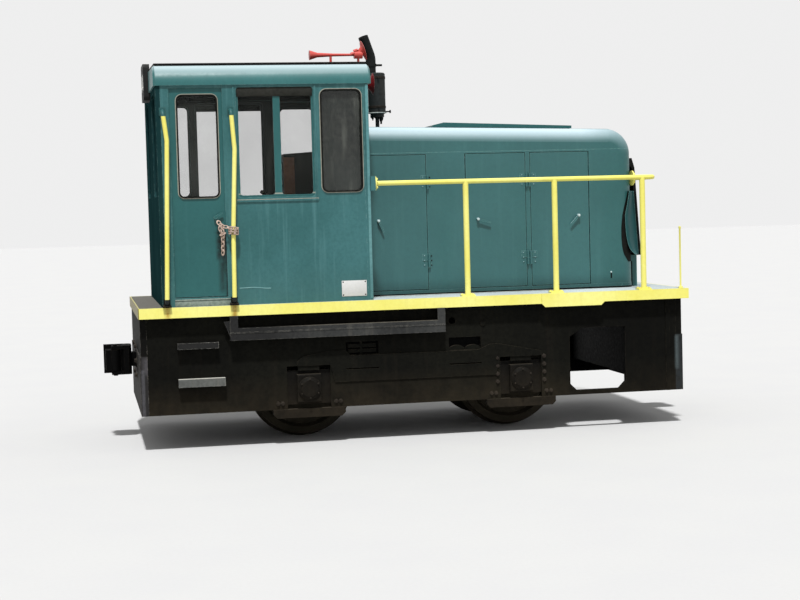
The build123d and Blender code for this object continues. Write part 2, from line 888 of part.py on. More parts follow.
core_front = hood_front_x - hood_wall - radiator_gap
core_half = hood_inner_y - hood_shoulder_radius + hood_wall
save(
    "radiator_core",
    block(core_front - radiator_depth, core_front, -core_half, core_half, deck_top, light_z1 + radiator_gap),
)

# Vent cover along the top of the hood, on a narrower base
vent_half = vent_width / 2
vent_base = [
    (vent_rear_x + vent_slope_length, hood_top_at(vent_rear_x + vent_slope_length)),
    (vent_front_x - vent_base_inset, hood_top_at(vent_front_x - vent_base_inset)),
    (vent_front_x - vent_base_inset, hood_top_at(vent_front_x - vent_base_inset) + vent_base_height + 2),
    (vent_rear_x + vent_slope_length, hood_top_at(vent_rear_x + vent_slope_length) + vent_base_height + 2),
]
vent_cover = [
    (vent_rear_x, hood_top_at(vent_rear_x) + vent_base_height),
    (vent_front_x, hood_top_at(vent_front_x) + vent_base_height),
    (vent_front_x, hood_top_at(vent_front_x) + vent_front_height),
    (vent_rear_x + vent_slope_length, hood_top_at(vent_rear_x + vent_slope_length) + vent_rear_height),
    (vent_rear_x, hood_top_at(vent_rear_x) + vent_base_height + 14.0),
]
vent = plate_xz(vent_base, -vent_half + vent_base_inset, vent_half - vent_base_inset)
save("hood_vent", vent + plate_xz(vent_cover, -vent_half, vent_half))

# Cab side walls, with the door opening, its stop and the fixed half of its hinges
door_outer_y = -half_cab + door_stop_thickness + moving_gap
door_inner_y = door_outer_y + cab_wall
door_hinge_x = door_rear_x + moving_gap
door_hinge_y = door_inner_y + door_hinge_reach
door_top = rail_level + door_high
door_bottom = rail_level + door_low
slider_bar_x = (slider_rear_x + slider_front_x) / 2 + slider_bar_shift
wall_inner_y = -half_cab + cab_wall
wall_cut_y = (-half_cab - 1, wall_inner_y + 1)


def make_side_wall():
    wall = block(cab_rear_x + cab_wall, cab_front_x - cab_wall, -half_cab, wall_inner_y, deck_top, cab_eave)
    wall -= block(door_rear_x, door_front_x, *wall_cut_y, door_bottom, door_top)
    wall -= rounded_xz(
        slider_rear_x, slider_front_x, rail_level + slider_low, rail_level + slider_high, *wall_cut_y, slider_corner
    )
    wall -= rounded_xz(
        fixed_rear_x, fixed_front_x, rail_level + fixed_low, rail_level + fixed_high, *wall_cut_y, opening_corner
    )
    stop_x = door_front_x - door_stop_width
    wall += block(stop_x, door_front_x, -half_cab, -half_cab + door_stop_thickness, door_bottom, door_top)
    for level in door_hinge_levels:
        z = rail_level + level
        z0 = z - door_hinge_length / 2
        hinge = block(door_rear_x - 50.0, door_rear_x, wall_inner_y, door_hinge_y, z0, z - 1)
        hinge += rod_z(door_hinge_x, door_hinge_y, z0, z - 1, door_hinge_barrel)
        wall += hinge - rod_z(door_hinge_x, door_hinge_y, z0 - 1, z + 1, door_hinge_pin + 2 * running_gap)
    return wall


side_wall = make_side_wall()
save("cab_wall_right", side_wall)
save("cab_wall_left", other_cab_side(side_wall))


# End walls, each with a window on each side of the middle
def make_end_wall(x0, x1, window_y, window_width):
    wall = block(x0, x1, -half_cab, half_cab, deck_top, cab_eave)
    for y in (-window_y, window_y):
        wall -= end_light(x0 - 1, x1 + 1, y, window_width)
    return wall


def end_light(x0, x1, y, width):
    """The rounded opening of an end window, or its pane, between two stations."""
    low, high = rail_level + fixed_low, rail_level + fixed_high
    return rounded_yz(y - width / 2, y + width / 2, low, high, x0, x1, opening_corner)


save("cab_wall_rear", make_end_wall(cab_rear_x, cab_rear_x + cab_wall, rear_window_y, rear_window_width))
save("cab_wall_front", make_end_wall(cab_front_x - cab_wall, cab_front_x, front_window_y, front_window_width))


# Roof: a low crown between two rounded sides, over a hollow
def roof_section(half, radius, low, edge, top):
    shift = radius * 0.2929
    return make_face(
        Curve()
        + [
            Line((0, -half, low), (0, -half, edge - radius)),
            ThreePointArc((0, -half, edge - radius), (0, -half + shift, edge - shift), (0, -half + radius, edge)),
            Line((0, -half + radius, edge), (0, 0, top)),
            Line((0, 0, top), (0, half - radius, edge)),
            ThreePointArc((0, half - radius, edge), (0, half - shift, edge - shift), (0, half, edge - radius)),
            Line((0, half, edge - radius), (0, half, low)),
            Line((0, half, low), (0, -half, low)),
        ]
    )


roof = extrude(
    Pos(roof_rear_x, 0, 0) * roof_section(half_roof, roof_side_radius, cab_eave, roof_edge, roof_top),
    roof_front_x - roof_rear_x,
    dir=(1, 0, 0),
)
roof_corners = [e for e in roof.edges() if e.bounding_box().size.X < 1 and e.center().Z > cab_eave + 1]
roof = chamfer(roof_corners, roof_end_radius * 0.6)
roof_hollow = extrude(
    Pos(cab_rear_x + cab_wall, 0, 0)
    * roof_section(
        half_cab - cab_wall, roof_side_radius - roof_side_overhang - cab_wall, cab_eave - 1,
        roof_edge - roof_thickness, roof_top - roof_thickness,
    ),
    cab_front_x - cab_rear_x - 2 * cab_wall,
    dir=(1, 0, 0),
)
save("cab_roof", roof - roof_hollow)


# Cab doors: a leaf as thick as the wall, hinged inside at its outer edge and closing on a stop
def door_light(y0, y1):
    """The window of the door, as a cutter or as a pane."""
    return rounded_xz(
        door_rear_x + door_window_rear_margin, door_front_x - door_window_front_margin,
        rail_level + door_window_low, rail_level + door_window_high, y0, y1, door_window_corner,
    )


def make_cab_door():
    leaf = block(
        door_rear_x + moving_gap, door_front_x - door_swing_gap, door_outer_y, door_inner_y,
        door_bottom + moving_gap, door_top - moving_gap,
    )
    leaf -= door_light(door_outer_y - 1, door_inner_y + 1)
    for level in door_hinge_levels:
        z = rail_level + level
        top = z + door_hinge_length / 2
        leaf += rod_z(door_hinge_x, door_hinge_y, z + 1, top, door_hinge_barrel)
        leaf += rod_z(door_hinge_x, door_hinge_y, z - door_hinge_length / 2, z + 2, door_hinge_pin)
        leaf += block(door_hinge_x, door_hinge_x + 55.0, door_inner_y, door_inner_y + door_hinge_leaf, z + 1, top)
    handle_z = rail_level + door_handle_height
    leaf += rod_y(door_handle_x, door_outer_y - handle_reach, door_outer_y, handle_z, 30.0)
    return leaf + lever_xz(door_handle_x, handle_z, 60.0, 40.0, door_outer_y - handle_reach + 10, 22.0, 10.0)


cab_door = make_cab_door()
save("cab_door_right", cab_door)
save("cab_door_left", other_cab_side(cab_door))
door_glass_y = (door_outer_y + door_inner_y) / 2
door_glass = door_light(door_glass_y - glass_thickness / 2, door_glass_y + glass_thickness / 2)
save("cab_door_glass_right", door_glass)
save("cab_door_glass_left", other_cab_side(door_glass))

# Glass and sashes: fixed panes, and a frame with an upright bar in each wide opening
glass_y = -half_cab + cab_wall / 2
sash_low = rail_level + slider_low + sash_frame
sash_high = rail_level + slider_high - sash_frame
sash_lights = (
    (slider_rear_x + sash_frame, slider_bar_x - sash_bar_width / 2),
    (slider_bar_x + sash_bar_width / 2, slider_front_x - sash_frame),
)


def sash_light(x0, x1, depth):
    """One light of the wide window, as a cutter or as a pane."""
    return rounded_xz(
        x0, x1, sash_low, sash_high, glass_y - depth / 2, glass_y + depth / 2, sash_corner
    )


side_panes = [sash_light(x0, x1, glass_thickness) for x0, x1 in sash_lights]
side_panes.append(
    rounded_xz(
        fixed_rear_x, fixed_front_x, rail_level + fixed_low, rail_level + fixed_high,
        glass_y - glass_thickness / 2, glass_y + glass_thickness / 2, opening_corner,
    )
)
end_panes = []
for x, window_y, width in (
    (cab_rear_x + cab_wall / 2, rear_window_y, rear_window_width),
    (cab_front_x - cab_wall / 2, front_window_y, front_window_width),
):
    for y in (-window_y, window_y):
        end_panes.append(end_light(x - glass_thickness / 2, x + glass_thickness / 2, y, width))
save_set("cab_glass", [*side_panes, *[other_cab_side(pane) for pane in side_panes], *end_panes])

sash = rounded_xz(
    slider_rear_x, slider_front_x, rail_level + slider_low, rail_level + slider_high,
    glass_y - sash_depth / 2, glass_y + sash_depth / 2, slider_corner,
)
for x0, x1 in sash_lights:
    sash -= sash_light(x0, x1, sash_depth + 2)
save_set("window_sashes", [sash, other_cab_side(sash)])

# Cab floor, seat and control stand
cab_inner_rear = cab_rear_x + cab_wall
cab_inner_front = cab_front_x - cab_wall
save("cab_floor", block(cab_inner_rear, cab_inner_front, wall_inner_y, -wall_inner_y, deck_top, floor_top))

half_seat = seat_width / 2
seat_base = rail_level + seat_height - seat_cushion_thickness
pedestal = rod_z(seat_x, seat_y, floor_top, floor_top + 20, seat_width * 0.75)
pedestal += rod_z(seat_x, seat_y, floor_top, seat_base - 5, 90.0)
pedestal += block(
    seat_x - half_seat * 0.9, seat_x + half_seat * 0.9, seat_y - half_seat, seat_y + half_seat,
    seat_base - 15, seat_base,
)
save("seat_pedestal", pedestal)

cushion = block(
    seat_x - half_seat, seat_x + half_seat, seat_y - half_seat, seat_y + half_seat,
    seat_base, seat_base + seat_cushion_thickness,
)
cushion = fillet(cushion.edges().filter_by(Axis.Z), half_seat * 0.3)
back_top = rail_level + seat_back_height
back = rounded_xz(
    seat_y - half_seat, seat_y + half_seat, seat_base + 60, back_top, 0.0, 60.0, half_seat * 0.8
)
cushion += Pos(seat_x - half_seat + 60, 0, 0) * Rot(0, 0, 90) * back
save("seat_cushion", cushion)

stand_z = rail_level + stand_height
stand_outline = [
    (stand_rear_x, floor_top),
    (stand_rear_x + stand_length, floor_top),
    (stand_rear_x + stand_length, stand_z + stand_slope),
    (stand_rear_x, stand_z),
]
save("control_stand", plate_xz(stand_outline, -stand_width / 2, stand_width / 2))

# Muffler on a stud through the hood, with a flange below it
muffler_z0 = rail_level + muffler_low
muffler_z1 = rail_level + muffler_high
muffler_radius = muffler_diameter / 2
muffler_profile = [
    (0.0, muffler_z0),
    (muffler_radius - muffler_chamfer, muffler_z0),
    (muffler_radius, muffler_z0 + muffler_chamfer),
    (muffler_radius, muffler_z1 - muffler_chamfer),
    (muffler_radius - muffler_chamfer, muffler_z1),
    (0.0, muffler_z1),
]
muffler = Pos(muffler_x, 0, 0) * turned(muffler_profile)
muffler += rod_z(muffler_x, 0, hood_top_at(muffler_x) - hood_wall, muffler_z0, stud_diameter)
muffler += rod_z(muffler_x, 0, muffler_z0 - muffler_flange_drop, muffler_z0, muffler_diameter * 0.8)
save("muffler", muffler - hood_outer)

# Exhaust pipe: a leaning elbow with an open mouth, held by a clamp with a bolt lug
pipe_base = rail_level + muffler_high
pipe_bend_z = rail_level + pipe_bend_height
pipe_top = rail_level + pipe_top_height
pipe_route = [(0, 0, pipe_base), (0, 0, pipe_bend_z), (-pipe_lean, 0, pipe_top)]
pipe = bent_rod(pipe_route, pipe_diameter, pipe_bend)
bore_route = [(0, 0, pipe_base + pipe_diameter), (0, 0, pipe_bend_z), (-pipe_lean * 1.1, 0, pipe_top + 20)]
pipe -= bent_rod(bore_route, pipe_diameter - 2 * pipe_wall, pipe_bend)
clamp_z = rail_level + clamp_height
clamp = rod_z(0, 0, clamp_z - clamp_width / 2, clamp_z + clamp_width / 2, pipe_diameter + 12.0)
clamp += block(0, pipe_diameter / 2 + clamp_reach, -14, 14, clamp_z - clamp_width / 3, clamp_z + clamp_width / 3)
clamp -= rod_z(0, 0, clamp_z - clamp_width, clamp_z + clamp_width, pipe_diameter - 2)
save("exhaust_pipe", Pos(pipe_x, 0, 0) * (Rot(0, 0, pipe_turn) * pipe + clamp))


# Horns: a long trumpet on the roof that faces the rear, and a bell on the cab front
def make_horns():
    z = rail_level + horn_height
    length = horn_base_x - horn_bell_x
    driver = horn_driver_diameter / 2
    tube = horn_tube_diameter / 2
    profile = [
        (0, 0),
        (driver, 0),
        (driver, horn_driver_length),
        (tube, horn_driver_length),
        (tube * 1.2, length * 0.55),
        (tube * 1.9, length * 0.85),
        (horn_bell_diameter / 2, length),
        (0, length),
    ]
    horns = Pos(horn_base_x, horn_y, z) * Rot(0, -90, 0) * turned(profile)
    for x in (horn_base_x - horn_driver_length / 2, horn_base_x - length * 0.6):
        horns += rod_z(x, horn_y, roof_edge - roof_thickness / 2, z, horn_tube_diameter)
    horns -= roof
    bell_z = rail_level + front_horn_height
    reach = front_horn_length
    bell = front_horn_diameter / 2
    front_profile = [(0, 0), (20, 0), (24, reach * 0.45), (bell * 0.62, reach * 0.8), (bell, reach), (0, reach)]
    front_horn = Pos(roof_front_x, horn_y, bell_z) * Rot(0, 90, 0) * turned(front_profile)
    return horns, front_horn


roof_horn, front_horn = make_horns()
save_set("roof_horn", [roof_horn, front_horn])

# Headlight in the header of the radiator guard: a short drum with a recessed lens
lamp_front_x = hood_front_x + guard_depths[1] + lamp_front_gap
drum = rod_x(hood_front_x, lamp_front_x, 0, lamp_z, lamp_diameter)
drum -= rod_x(lamp_front_x - lamp_lens_depth, lamp_front_x + 1, 0, lamp_z, lamp_diameter - 2 * lamp_rim)
save("headlight_front", drum)

# Lamp box at the rear edge of the roof, with two round lenses
half_box = lamp_box_width / 2
box_low, box_high = rail_level + lamp_box_low, rail_level + lamp_box_high
lamp_box = rounded_yz(-half_box, half_box, box_low, box_high, lamp_box_rear_x, cab_rear_x, lamp_box_radius)
lamp_box -= roof
lens_z = (box_low + box_high) / 2
for y in (-half_box / 2, half_box / 2):
    lamp_box -= rod_x(lamp_box_rear_x - 1, lamp_box_rear_x + lamp_lens_depth, y, lens_z, lamp_lens_diameter)
save("headlight_rear", lamp_box)


# Handrail along the hood, with posts, a bracket on the cab and a return to the hood front
def make_handrail():
    return_y = half_hood - rail_return_inset
    rail = bent_rod(
        [
            (cab_front_x + bracket_depth, -rail_y, rail_z),
            (rail_front_x, -rail_y, rail_z),
            (rail_front_x, -return_y, rail_z),
        ],
        rail_diameter,
        rail_bend,
    )
    rail += rod_x(hood_front_x, rail_front_x + rail_diameter / 2, -return_y, rail_z, rail_diameter)
    rail += rod_x(hood_front_x, hood_front_x + rail_flange_thickness, -return_y, rail_z, front_flange_diameter)
    cab_end = cab_front_x + bracket_depth
    rail += rod_x(cab_end, cab_end + rail_flange_thickness, -rail_y, rail_z, wall_flange_diameter)
    half_bracket = wall_flange_diameter / 2
    rail += block(
        cab_front_x, cab_end, -rail_y - half_bracket, -rail_y + half_bracket,
        rail_z - half_bracket, rail_z + half_bracket,
    )
    for x in rail_post_xs:
        rail += rod_z(x, -rail_y, deck_top, rail_z, post_diameter)
        rail += block(
            x - post_flange_diameter / 2, x + post_flange_diameter / 2, -rail_y - rail_inset + edge_band_thickness,
            -rail_y + post_flange_diameter / 2, deck_top, deck_top + rail_flange_thickness,
        )
    return rail


handrail = make_handrail()
save("handrail_right", handrail)
save("handrail_left", other_side(handrail))

# Grab rails beside each cab door: (x, height) points of their slightly bent uprights
grab_shapes = (
    ((-2188.0, grab_high), (-2160.0, 2600.0), (-2185.0, 1817.0), (-2204.0, grab_low)),
    ((-1616.0, grab_high), (-1595.0, 2520.0), (-1627.0, 1830.0), (-1636.0, grab_low)),
)


def make_grab(upright):
    """A rail that leaves the wall at its top, follows its upright and returns at its foot."""
    y = -half_cab - grab_standoff
    top_x, top = upright[0]
    foot_x, foot = upright[-1]
    route = [(top_x, -half_cab, rail_level + top)]
    route += [(x, y, rail_level + z) for x, z in upright]
    route += [(foot_x, -half_cab, rail_level + foot)]
    rail = bent_rod(route, grab_diameter, grab_bend)
    for x, z in ((top_x, top), (foot_x, foot)):
        level = rail_level + z
        rail += block(x - 26, x + 26, -half_cab - 8, -half_cab, max(level - 34, deck_top), level + 34)
    return rail


right_grabs = [make_grab(upright) for upright in grab_shapes]
save_set("grab_rails", [*right_grabs, *[other_cab_side(grab) for grab in right_grabs]])


# Couplers: a shank through the end plate, a head with a guard arm, and a knuckle on a pin
def make_coupler(plate_x):
    half_shank, half_head = shank_width / 2, head_height / 2
    inner_x = plate_x - end_plate_thickness
    head_x = plate_x + head_reach
    pin_x = plate_x + knuckle_pin_reach
    low, high = coupler_z - half_head, coupler_z + half_head
    body = block(
        inner_x - pocket_length, head_x + 20, -half_shank, half_shank, coupler_z - half_shank, coupler_z + half_shank
    )
    head = block(head_x, head_x + head_depth, -half_head, head_width - half_head, low, high)
    body += chamfer(head.edges().filter_by(Axis.Z), 25)
    body += block(head_x + 70, head_x + 245, -guard_arm_outer, -guard_arm_inner, low, high)
    for z in (low, high - lug_height):
        body += block(head_x + 70, pin_x + 35, 30, 115, z, z + lug_height)
    return body - rod_z(pin_x, knuckle_pin_y, low - 1, high + 1, knuckle_pin_diameter + 2 * running_gap)


def make_knuckle(plate_x):
    pin_x = plate_x + knuckle_pin_reach
    half = knuckle_height / 2
    knuckle = rod_z(pin_x, knuckle_pin_y, coupler_z - half, coupler_z + half, knuckle_barrel)
    knuckle += block(pin_x - 10, pin_x + 85, -60, knuckle_pin_y + 30, coupler_z - half, coupler_z + half)
    pin_half = head_height / 2 + 10
    return knuckle + rod_z(pin_x, knuckle_pin_y, coupler_z - pin_half, coupler_z + pin_half, knuckle_pin_diameter)


def make_pocket(plate_x):
    inner_x = plate_x - end_plate_thickness
    half_shank = shank_width / 2
    outer, tall = half_shank + 2 * pocket_wall, half_shank + pocket_wall
    pocket = block(inner_x - pocket_length - 40, inner_x, -outer, outer, coupler_z - tall, coupler_z + tall)
    return pocket - block(
        inner_x - pocket_length - 41, inner_x + 1, -half_shank, half_shank,
        coupler_z - half_shank, coupler_z + half_shank,
    )


turned_round = Rot(0, 0, 180)
save("coupler_front", make_coupler(front_plate_x))
save("coupler_rear", turned_round * make_coupler(rear_plate_x))
save_set("draft_pockets", [make_pocket(front_plate_x), turned_round * make_pocket(rear_plate_x)])
save("knuckle_front", make_knuckle(front_plate_x))
save("knuckle_rear", turned_round * make_knuckle(rear_plate_x))


# Brake shoes and their hangers, on the inner side of each wheel
def make_brake(x, way, side):
    y = side * (back_to_back / 2 + 80.0)
    radius = wheel_diameter / 2 + 4.0
    shoe = rod_y(x, y - 40, y + 40, axle_z, 2 * radius + 90)
    shoe -= rod_y(x, y - 45, y + 45, axle_z, 2 * radius)
    shoe &= block(x + way * radius * 0.5, x + way * radius * 1.5, y - 50, y + 50, axle_z - 150, axle_z + 150)
    hanger_x = x + way * (radius + 62)
    hanger = block(hanger_x - 12, hanger_x + 12, y - 20, y + 20, axle_z - 60, deck_under)
    return shoe + hanger + block(hanger_x, hanger_x - way * 30, y - 20, y + 20, axle_z - 40, axle_z + 40)


save_set(
    "brake_gear",
    [make_brake(x, way, side) for x, way in ((axle_xs[0], 1), (axle_xs[1], -1)) for side in (-1, 1)],
)
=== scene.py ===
import math

import bmesh
import bpy
from mathutils import Matrix, Vector


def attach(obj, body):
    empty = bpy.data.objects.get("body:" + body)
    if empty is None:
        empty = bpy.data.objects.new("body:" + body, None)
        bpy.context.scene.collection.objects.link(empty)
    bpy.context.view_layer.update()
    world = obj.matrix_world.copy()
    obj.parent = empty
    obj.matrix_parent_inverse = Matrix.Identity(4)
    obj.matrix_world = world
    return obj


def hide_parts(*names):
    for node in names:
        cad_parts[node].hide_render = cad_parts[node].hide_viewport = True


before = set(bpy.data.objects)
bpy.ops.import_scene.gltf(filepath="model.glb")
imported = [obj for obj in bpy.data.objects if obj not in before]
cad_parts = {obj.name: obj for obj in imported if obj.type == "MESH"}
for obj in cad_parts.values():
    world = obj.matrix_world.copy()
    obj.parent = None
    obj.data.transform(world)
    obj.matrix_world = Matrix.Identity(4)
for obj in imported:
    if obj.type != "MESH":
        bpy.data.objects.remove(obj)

ops = bmesh.ops
shift = Matrix.Translation
stage = bpy.context.scene
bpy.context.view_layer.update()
treadFoot = 0.028  # the flange tips stand on the floor, so the wheels' treads end this much higher
cabMiddle = -1.336
print("frame loaded with", len(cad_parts), "nodes")


# Places are given in millimetres above the foot of the treads, and turned into metres here
def at(x, y, z):
    return Vector((x / 1000, y / 1000, z / 1000 + treadFoot))


def srgb(red, green, blue):
    parts = []
    for value in (red, green, blue):
        share = value / 255
        parts.append(share / 12.92 if share <= 0.04045 else ((share + 0.055) / 1.055) ** 2.4)
    return (*parts, 1.0)


# The other side: the hood is mirrored, the cab is the same turned half round
asBuilt = Matrix.Identity(4)
mirrored = Matrix.Diagonal((1, -1, 1, 1))
turnedRound = shift((cabMiddle, 0, 0)) @ Matrix.Rotation(math.pi, 4, "Z")
turnedRound = turnedRound @ shift((-cabMiddle, 0, 0))
cabSides = (asBuilt, turnedRound)
hoodSides = (asBuilt, mirrored)

# Materials
# Detail and roughness of each noise
grains = dict(soft=(5.0, 0.6), fine=(6.0, 0.62), dust=(6.0, 0.65), ragged=(5.0, 0.7), dents=(2.0, 0.4))
broadScale = 1.1
dustScale = 6.0
# Where each value begins and ends to count, with what it becomes there if that isn't 0 to 1
spans = dict(
    fading=(0.38, 0.62), mottle=(0.42, 0.70), streaks=(0.54, 0.74), dust=(0.34, 0.62, 0.35, 1.0),
    edge=(0.985, 0.86), chips=(0.44, 0.58), rough=(0.3, 0.7), cover=(0.3, 0.7),
    smears=(0.35, 0.7, 0.86, 0.70), stain=(0.34, 0.52, 0.45, 1.0), rightSide=(0.01, -0.01),
    inward=(0.0, -0.02), withinX=(0.872, 0.868), withinY=(1.014, 1.010))
smearScale = (9.0, 9.0, 2.0)
cabHeart = (cabMiddle, 0, 2.2)
hollowSoft = 0.004
filmSoft = 0.01
dentDepth = 0.02
# What a look has where it says nothing else
usual = dict(
    fineScale=34.0, chipScale=22.0, dentScale=3.2, streakScale=(16.0, 16.0, 0.8), mottle=0.35, streaks=None,
    heights=(), zones=(), patches=(), topRange=(0.80, 0.98), topAmount=0.8, edge=0.005, wear=0.6, metal=0.0,
    shine=0.5, grain=0.25, grainDepth=0.0015, dents=0.15)


def addNode(tree, kind, inputs, **settings):
    made = tree.nodes.new("ShaderNode" + kind)
    for key, value in settings.items():
        setattr(made, key, value)
    for key, value in inputs.items():
        if isinstance(value, bpy.types.NodeSocket):
            tree.links.new(value, made.inputs[key])
        else:
            made.inputs[key].default_value = value
    return made


def mixColour(tree, share, first, second):
    return addNode(tree, "Mix", {0: share, 6: first, 7: second}, data_type="RGBA").outputs[2]


def spread(tree, value, low, high, newLow=0.0, newHigh=1.0):
    limits = {"Value": value, "From Min": low, "From Max": high, "To Min": newLow, "To Max": newHigh}
    return addNode(tree, "MapRange", limits).outputs["Result"]


def maths(tree, operation, first, second=0.0, clamp=False):
    return addNode(tree, "Math", {0: first, 1: second}, operation=operation, use_clamp=clamp).outputs[0]


def times(tree, first, second):
    return maths(tree, "MULTIPLY", first, second, True)


def vectorMaths(tree, operation, first, second=(0, 0, 0), out="Vector"):
    return addNode(tree, "VectorMath", {0: first, 1: second}, operation=operation).outputs[out]


def splitUp(tree, vector):
    return addNode(tree, "SeparateXYZ", {"Vector": vector}).outputs


def noise(tree, coords, scale, grain, stretch=None):
    if stretch:
        coords = addNode(tree, "Mapping", {"Vector": coords, "Scale": stretch}).outputs["Vector"]
    detail, rough = grains[grain]
    look = {"Vector": coords, "Scale": scale, "Detail": detail, "Roughness": rough}
    return addNode(tree, "TexNoise", look).outputs["Fac"]


# 1 in the middle of a patch on the right side, ragged towards its edges; the patches are stains and marks,
# and painted shadows on the cab door
def patchShare(tree, coords, split, patch):
    share = spread(tree, noise(tree, coords, patch["scale"], "ragged"), *spans["stain"])
    soft = patch["soft"]
    for axis in "XZ":
        low, high = patch[axis]
        rise = spread(tree, split[axis], low - soft, low + soft)
        fall = spread(tree, split[axis], high + soft, high - soft)
        share = times(tree, share, times(tree, rise, fall))
    return times(tree, share, spread(tree, split["Y"], *spans["rightSide"], 0.0, patch["amount"]))


# 1 on the faces that look into the cab, which are painted darker as shade
def insideShare(tree, coords, normal):
    fromMiddle = vectorMaths(tree, "SUBTRACT", coords, cabHeart)
    inward = spread(tree, vectorMaths(tree, "DOT_PRODUCT", fromMiddle, normal, "Value"), *spans["inward"])
    reach = splitUp(tree, vectorMaths(tree, "ABSOLUTE", fromMiddle))
    within = times(tree, spread(tree, reach["X"], *spans["withinX"]),
                   spread(tree, reach["Y"], *spans["withinY"]))
    return times(tree, inward, within)


# A lighter tone on the faces that look up; on the roof, hood, vent, steps and horn it is a painted highlight
# of sun and sky
def lightenTop(tree, look, split, normal, colour):
    tilt = splitUp(tree, normal)["Z"]
    up = spread(tree, tilt, *look["topRange"], 0.0, look["topAmount"])
    if "topFade" in look:
        up = times(tree, up, spread(tree, split["X"], *look["topFade"]))
    if "crown" in look:
        up = times(tree, up, spread(tree, tilt, *look["crown"]))
    return mixColour(tree, up, colour, look["topTint"])


# The colour before wear: fading, mottling, streaks, dust low down, a lighter top tone (a painted highlight on
# some looks), zones (painted shade on some looks), painted shade between the frame plates and inside the cab,
# and patches: stains and marks, and painted shadows
def paintColour(tree, look, coords, split, normal, broad, fine):
    colour = mixColour(tree, spread(tree, broad, *spans["fading"]), look["base"], look["faded"])
    mottle = spread(tree, fine, *spans["mottle"], 0.0, look["mottle"])
    colour = mixColour(tree, mottle, colour, look["dark"])
    if look["streaks"]:
        amount, tint = look["streaks"]
        lines = noise(tree, coords, 1.0, "soft", look["streakScale"])
        colour = mixColour(tree, spread(tree, lines, *spans["streaks"], 0.0, amount), colour, tint)
    for low, high, tint, amount in look["heights"]:
        band = spread(tree, split["Z"], low, high, amount, 0.0)
        rag = spread(tree, noise(tree, coords, dustScale, "dust"), *spans["dust"])
        colour = mixColour(tree, times(tree, band, rag), colour, tint)
    if "topTint" in look:
        colour = lightenTop(tree, look, split, normal, colour)
    for axis, first, full, tint in look["zones"]:
        colour = mixColour(tree, spread(tree, split[axis], first, full), colour, tint)
    if "hollow" in look:
        inner, tint = look["hollow"]
        across = maths(tree, "ABSOLUTE", split["Y"])
        colour = mixColour(tree, spread(tree, across, inner, inner - hollowSoft), colour, tint)
    for patch in look["patches"]:
        colour = mixColour(tree, patchShare(tree, coords, split, patch), colour, patch["tint"])
    if "inside" in look:
        colour = mixColour(tree, insideShare(tree, coords, normal), colour, look["inside"])
    return colour


# Worn edges, with a lighter tint along the whole edge where a look has a rim, as a painted highlight on the
# edges
def wearEdges(tree, look, coords, normal, colour):
    rounded = addNode(tree, "Bevel", {"Radius": look["edge"]}, samples=4).outputs["Normal"]
    edge = spread(tree, vectorMaths(tree, "DOT_PRODUCT", rounded, normal, "Value"), *spans["edge"])
    if "rim" in look:
        amount, tint = look["rim"]
        colour = mixColour(tree, times(tree, edge, amount), colour, tint)
    chips = spread(tree, noise(tree, coords, look["chipScale"], "ragged"), *spans["chips"])
    return mixColour(tree, times(tree, times(tree, edge, chips), look["wear"]), colour, look["worn"])


# Glass lets light through, and less of it where a film of dust and painted reflection covers it
def glassCover(tree, look, coords, split, broad):
    cover = spread(tree, broad, *spans["cover"], *look["alpha"])
    if "dirtyBeyond" in look:
        away = maths(tree, "SUBTRACT", split["X"], cabMiddle)
        dirty = spread(tree, away, look["dirtyBeyond"] - filmSoft, look["dirtyBeyond"])
        film = spread(tree, noise(tree, coords, 1.0, "ragged", smearScale), *spans["smears"])
        cover = addNode(tree, "Mix", {0: dirty, 2: cover, 3: film}, data_type="FLOAT").outputs[0]
    return cover


# One weathered surface: its colour, worn edges, roughness, see-through share and bump
def weathered(name, look):
    material = bpy.data.materials.new(name)
    material.use_nodes = True
    tree = material.node_tree
    tree.nodes.clear()
    shader = addNode(tree, "BsdfPrincipled", {"Metallic": look["metal"], "Specular IOR Level": look["shine"]})
    addNode(tree, "OutputMaterial", {"Surface": shader.outputs["BSDF"]})
    coords = addNode(tree, "TexCoord", {}).outputs["Object"]
    normal = addNode(tree, "NewGeometry", {}).outputs["Normal"]
    split = splitUp(tree, coords)
    broad = noise(tree, coords, broadScale, "soft")
    fine = noise(tree, coords, look["fineScale"], "fine")
    colour = paintColour(tree, look, coords, split, normal, broad, fine)
    tree.links.new(wearEdges(tree, look, coords, normal, colour), shader.inputs["Base Color"])
    tree.links.new(spread(tree, fine, *spans["rough"], *look["rough"]), shader.inputs["Roughness"])
    if "alpha" in look:
        tree.links.new(glassCover(tree, look, coords, split, broad), shader.inputs["Alpha"])
    small = addNode(tree, "Bump", {"Strength": look["grain"], "Distance": look["grainDepth"], "Height": fine})
    large = addNode(tree, "Bump", {
        "Strength": look["dents"], "Distance": dentDepth, "Normal": small.outputs["Normal"],
        "Height": noise(tree, coords, look["dentScale"], "dents")})
    tree.links.new(large.outputs["Normal"], shader.inputs["Normal"])
    return material


# A look made from another: up to four tones (base, faded, dark, worn), then what else differs
def coat(look, *colours, **others):
    toned = {part: srgb(*colour) for part, colour in zip(("base", "faded", "dark", "worn"), colours)}
    return {**look, **toned, **others}


# A patch on the right side, for stains and marks and for painted shadows: where it lies, how soft its edge
# is, its colour, strength and grain
def stain(alongX, alongZ, soft, tint, amount=1.0, scale=20.0):
    return {"X": alongX, "Z": alongZ, "soft": soft, "tint": srgb(*tint), "amount": amount, "scale": scale}
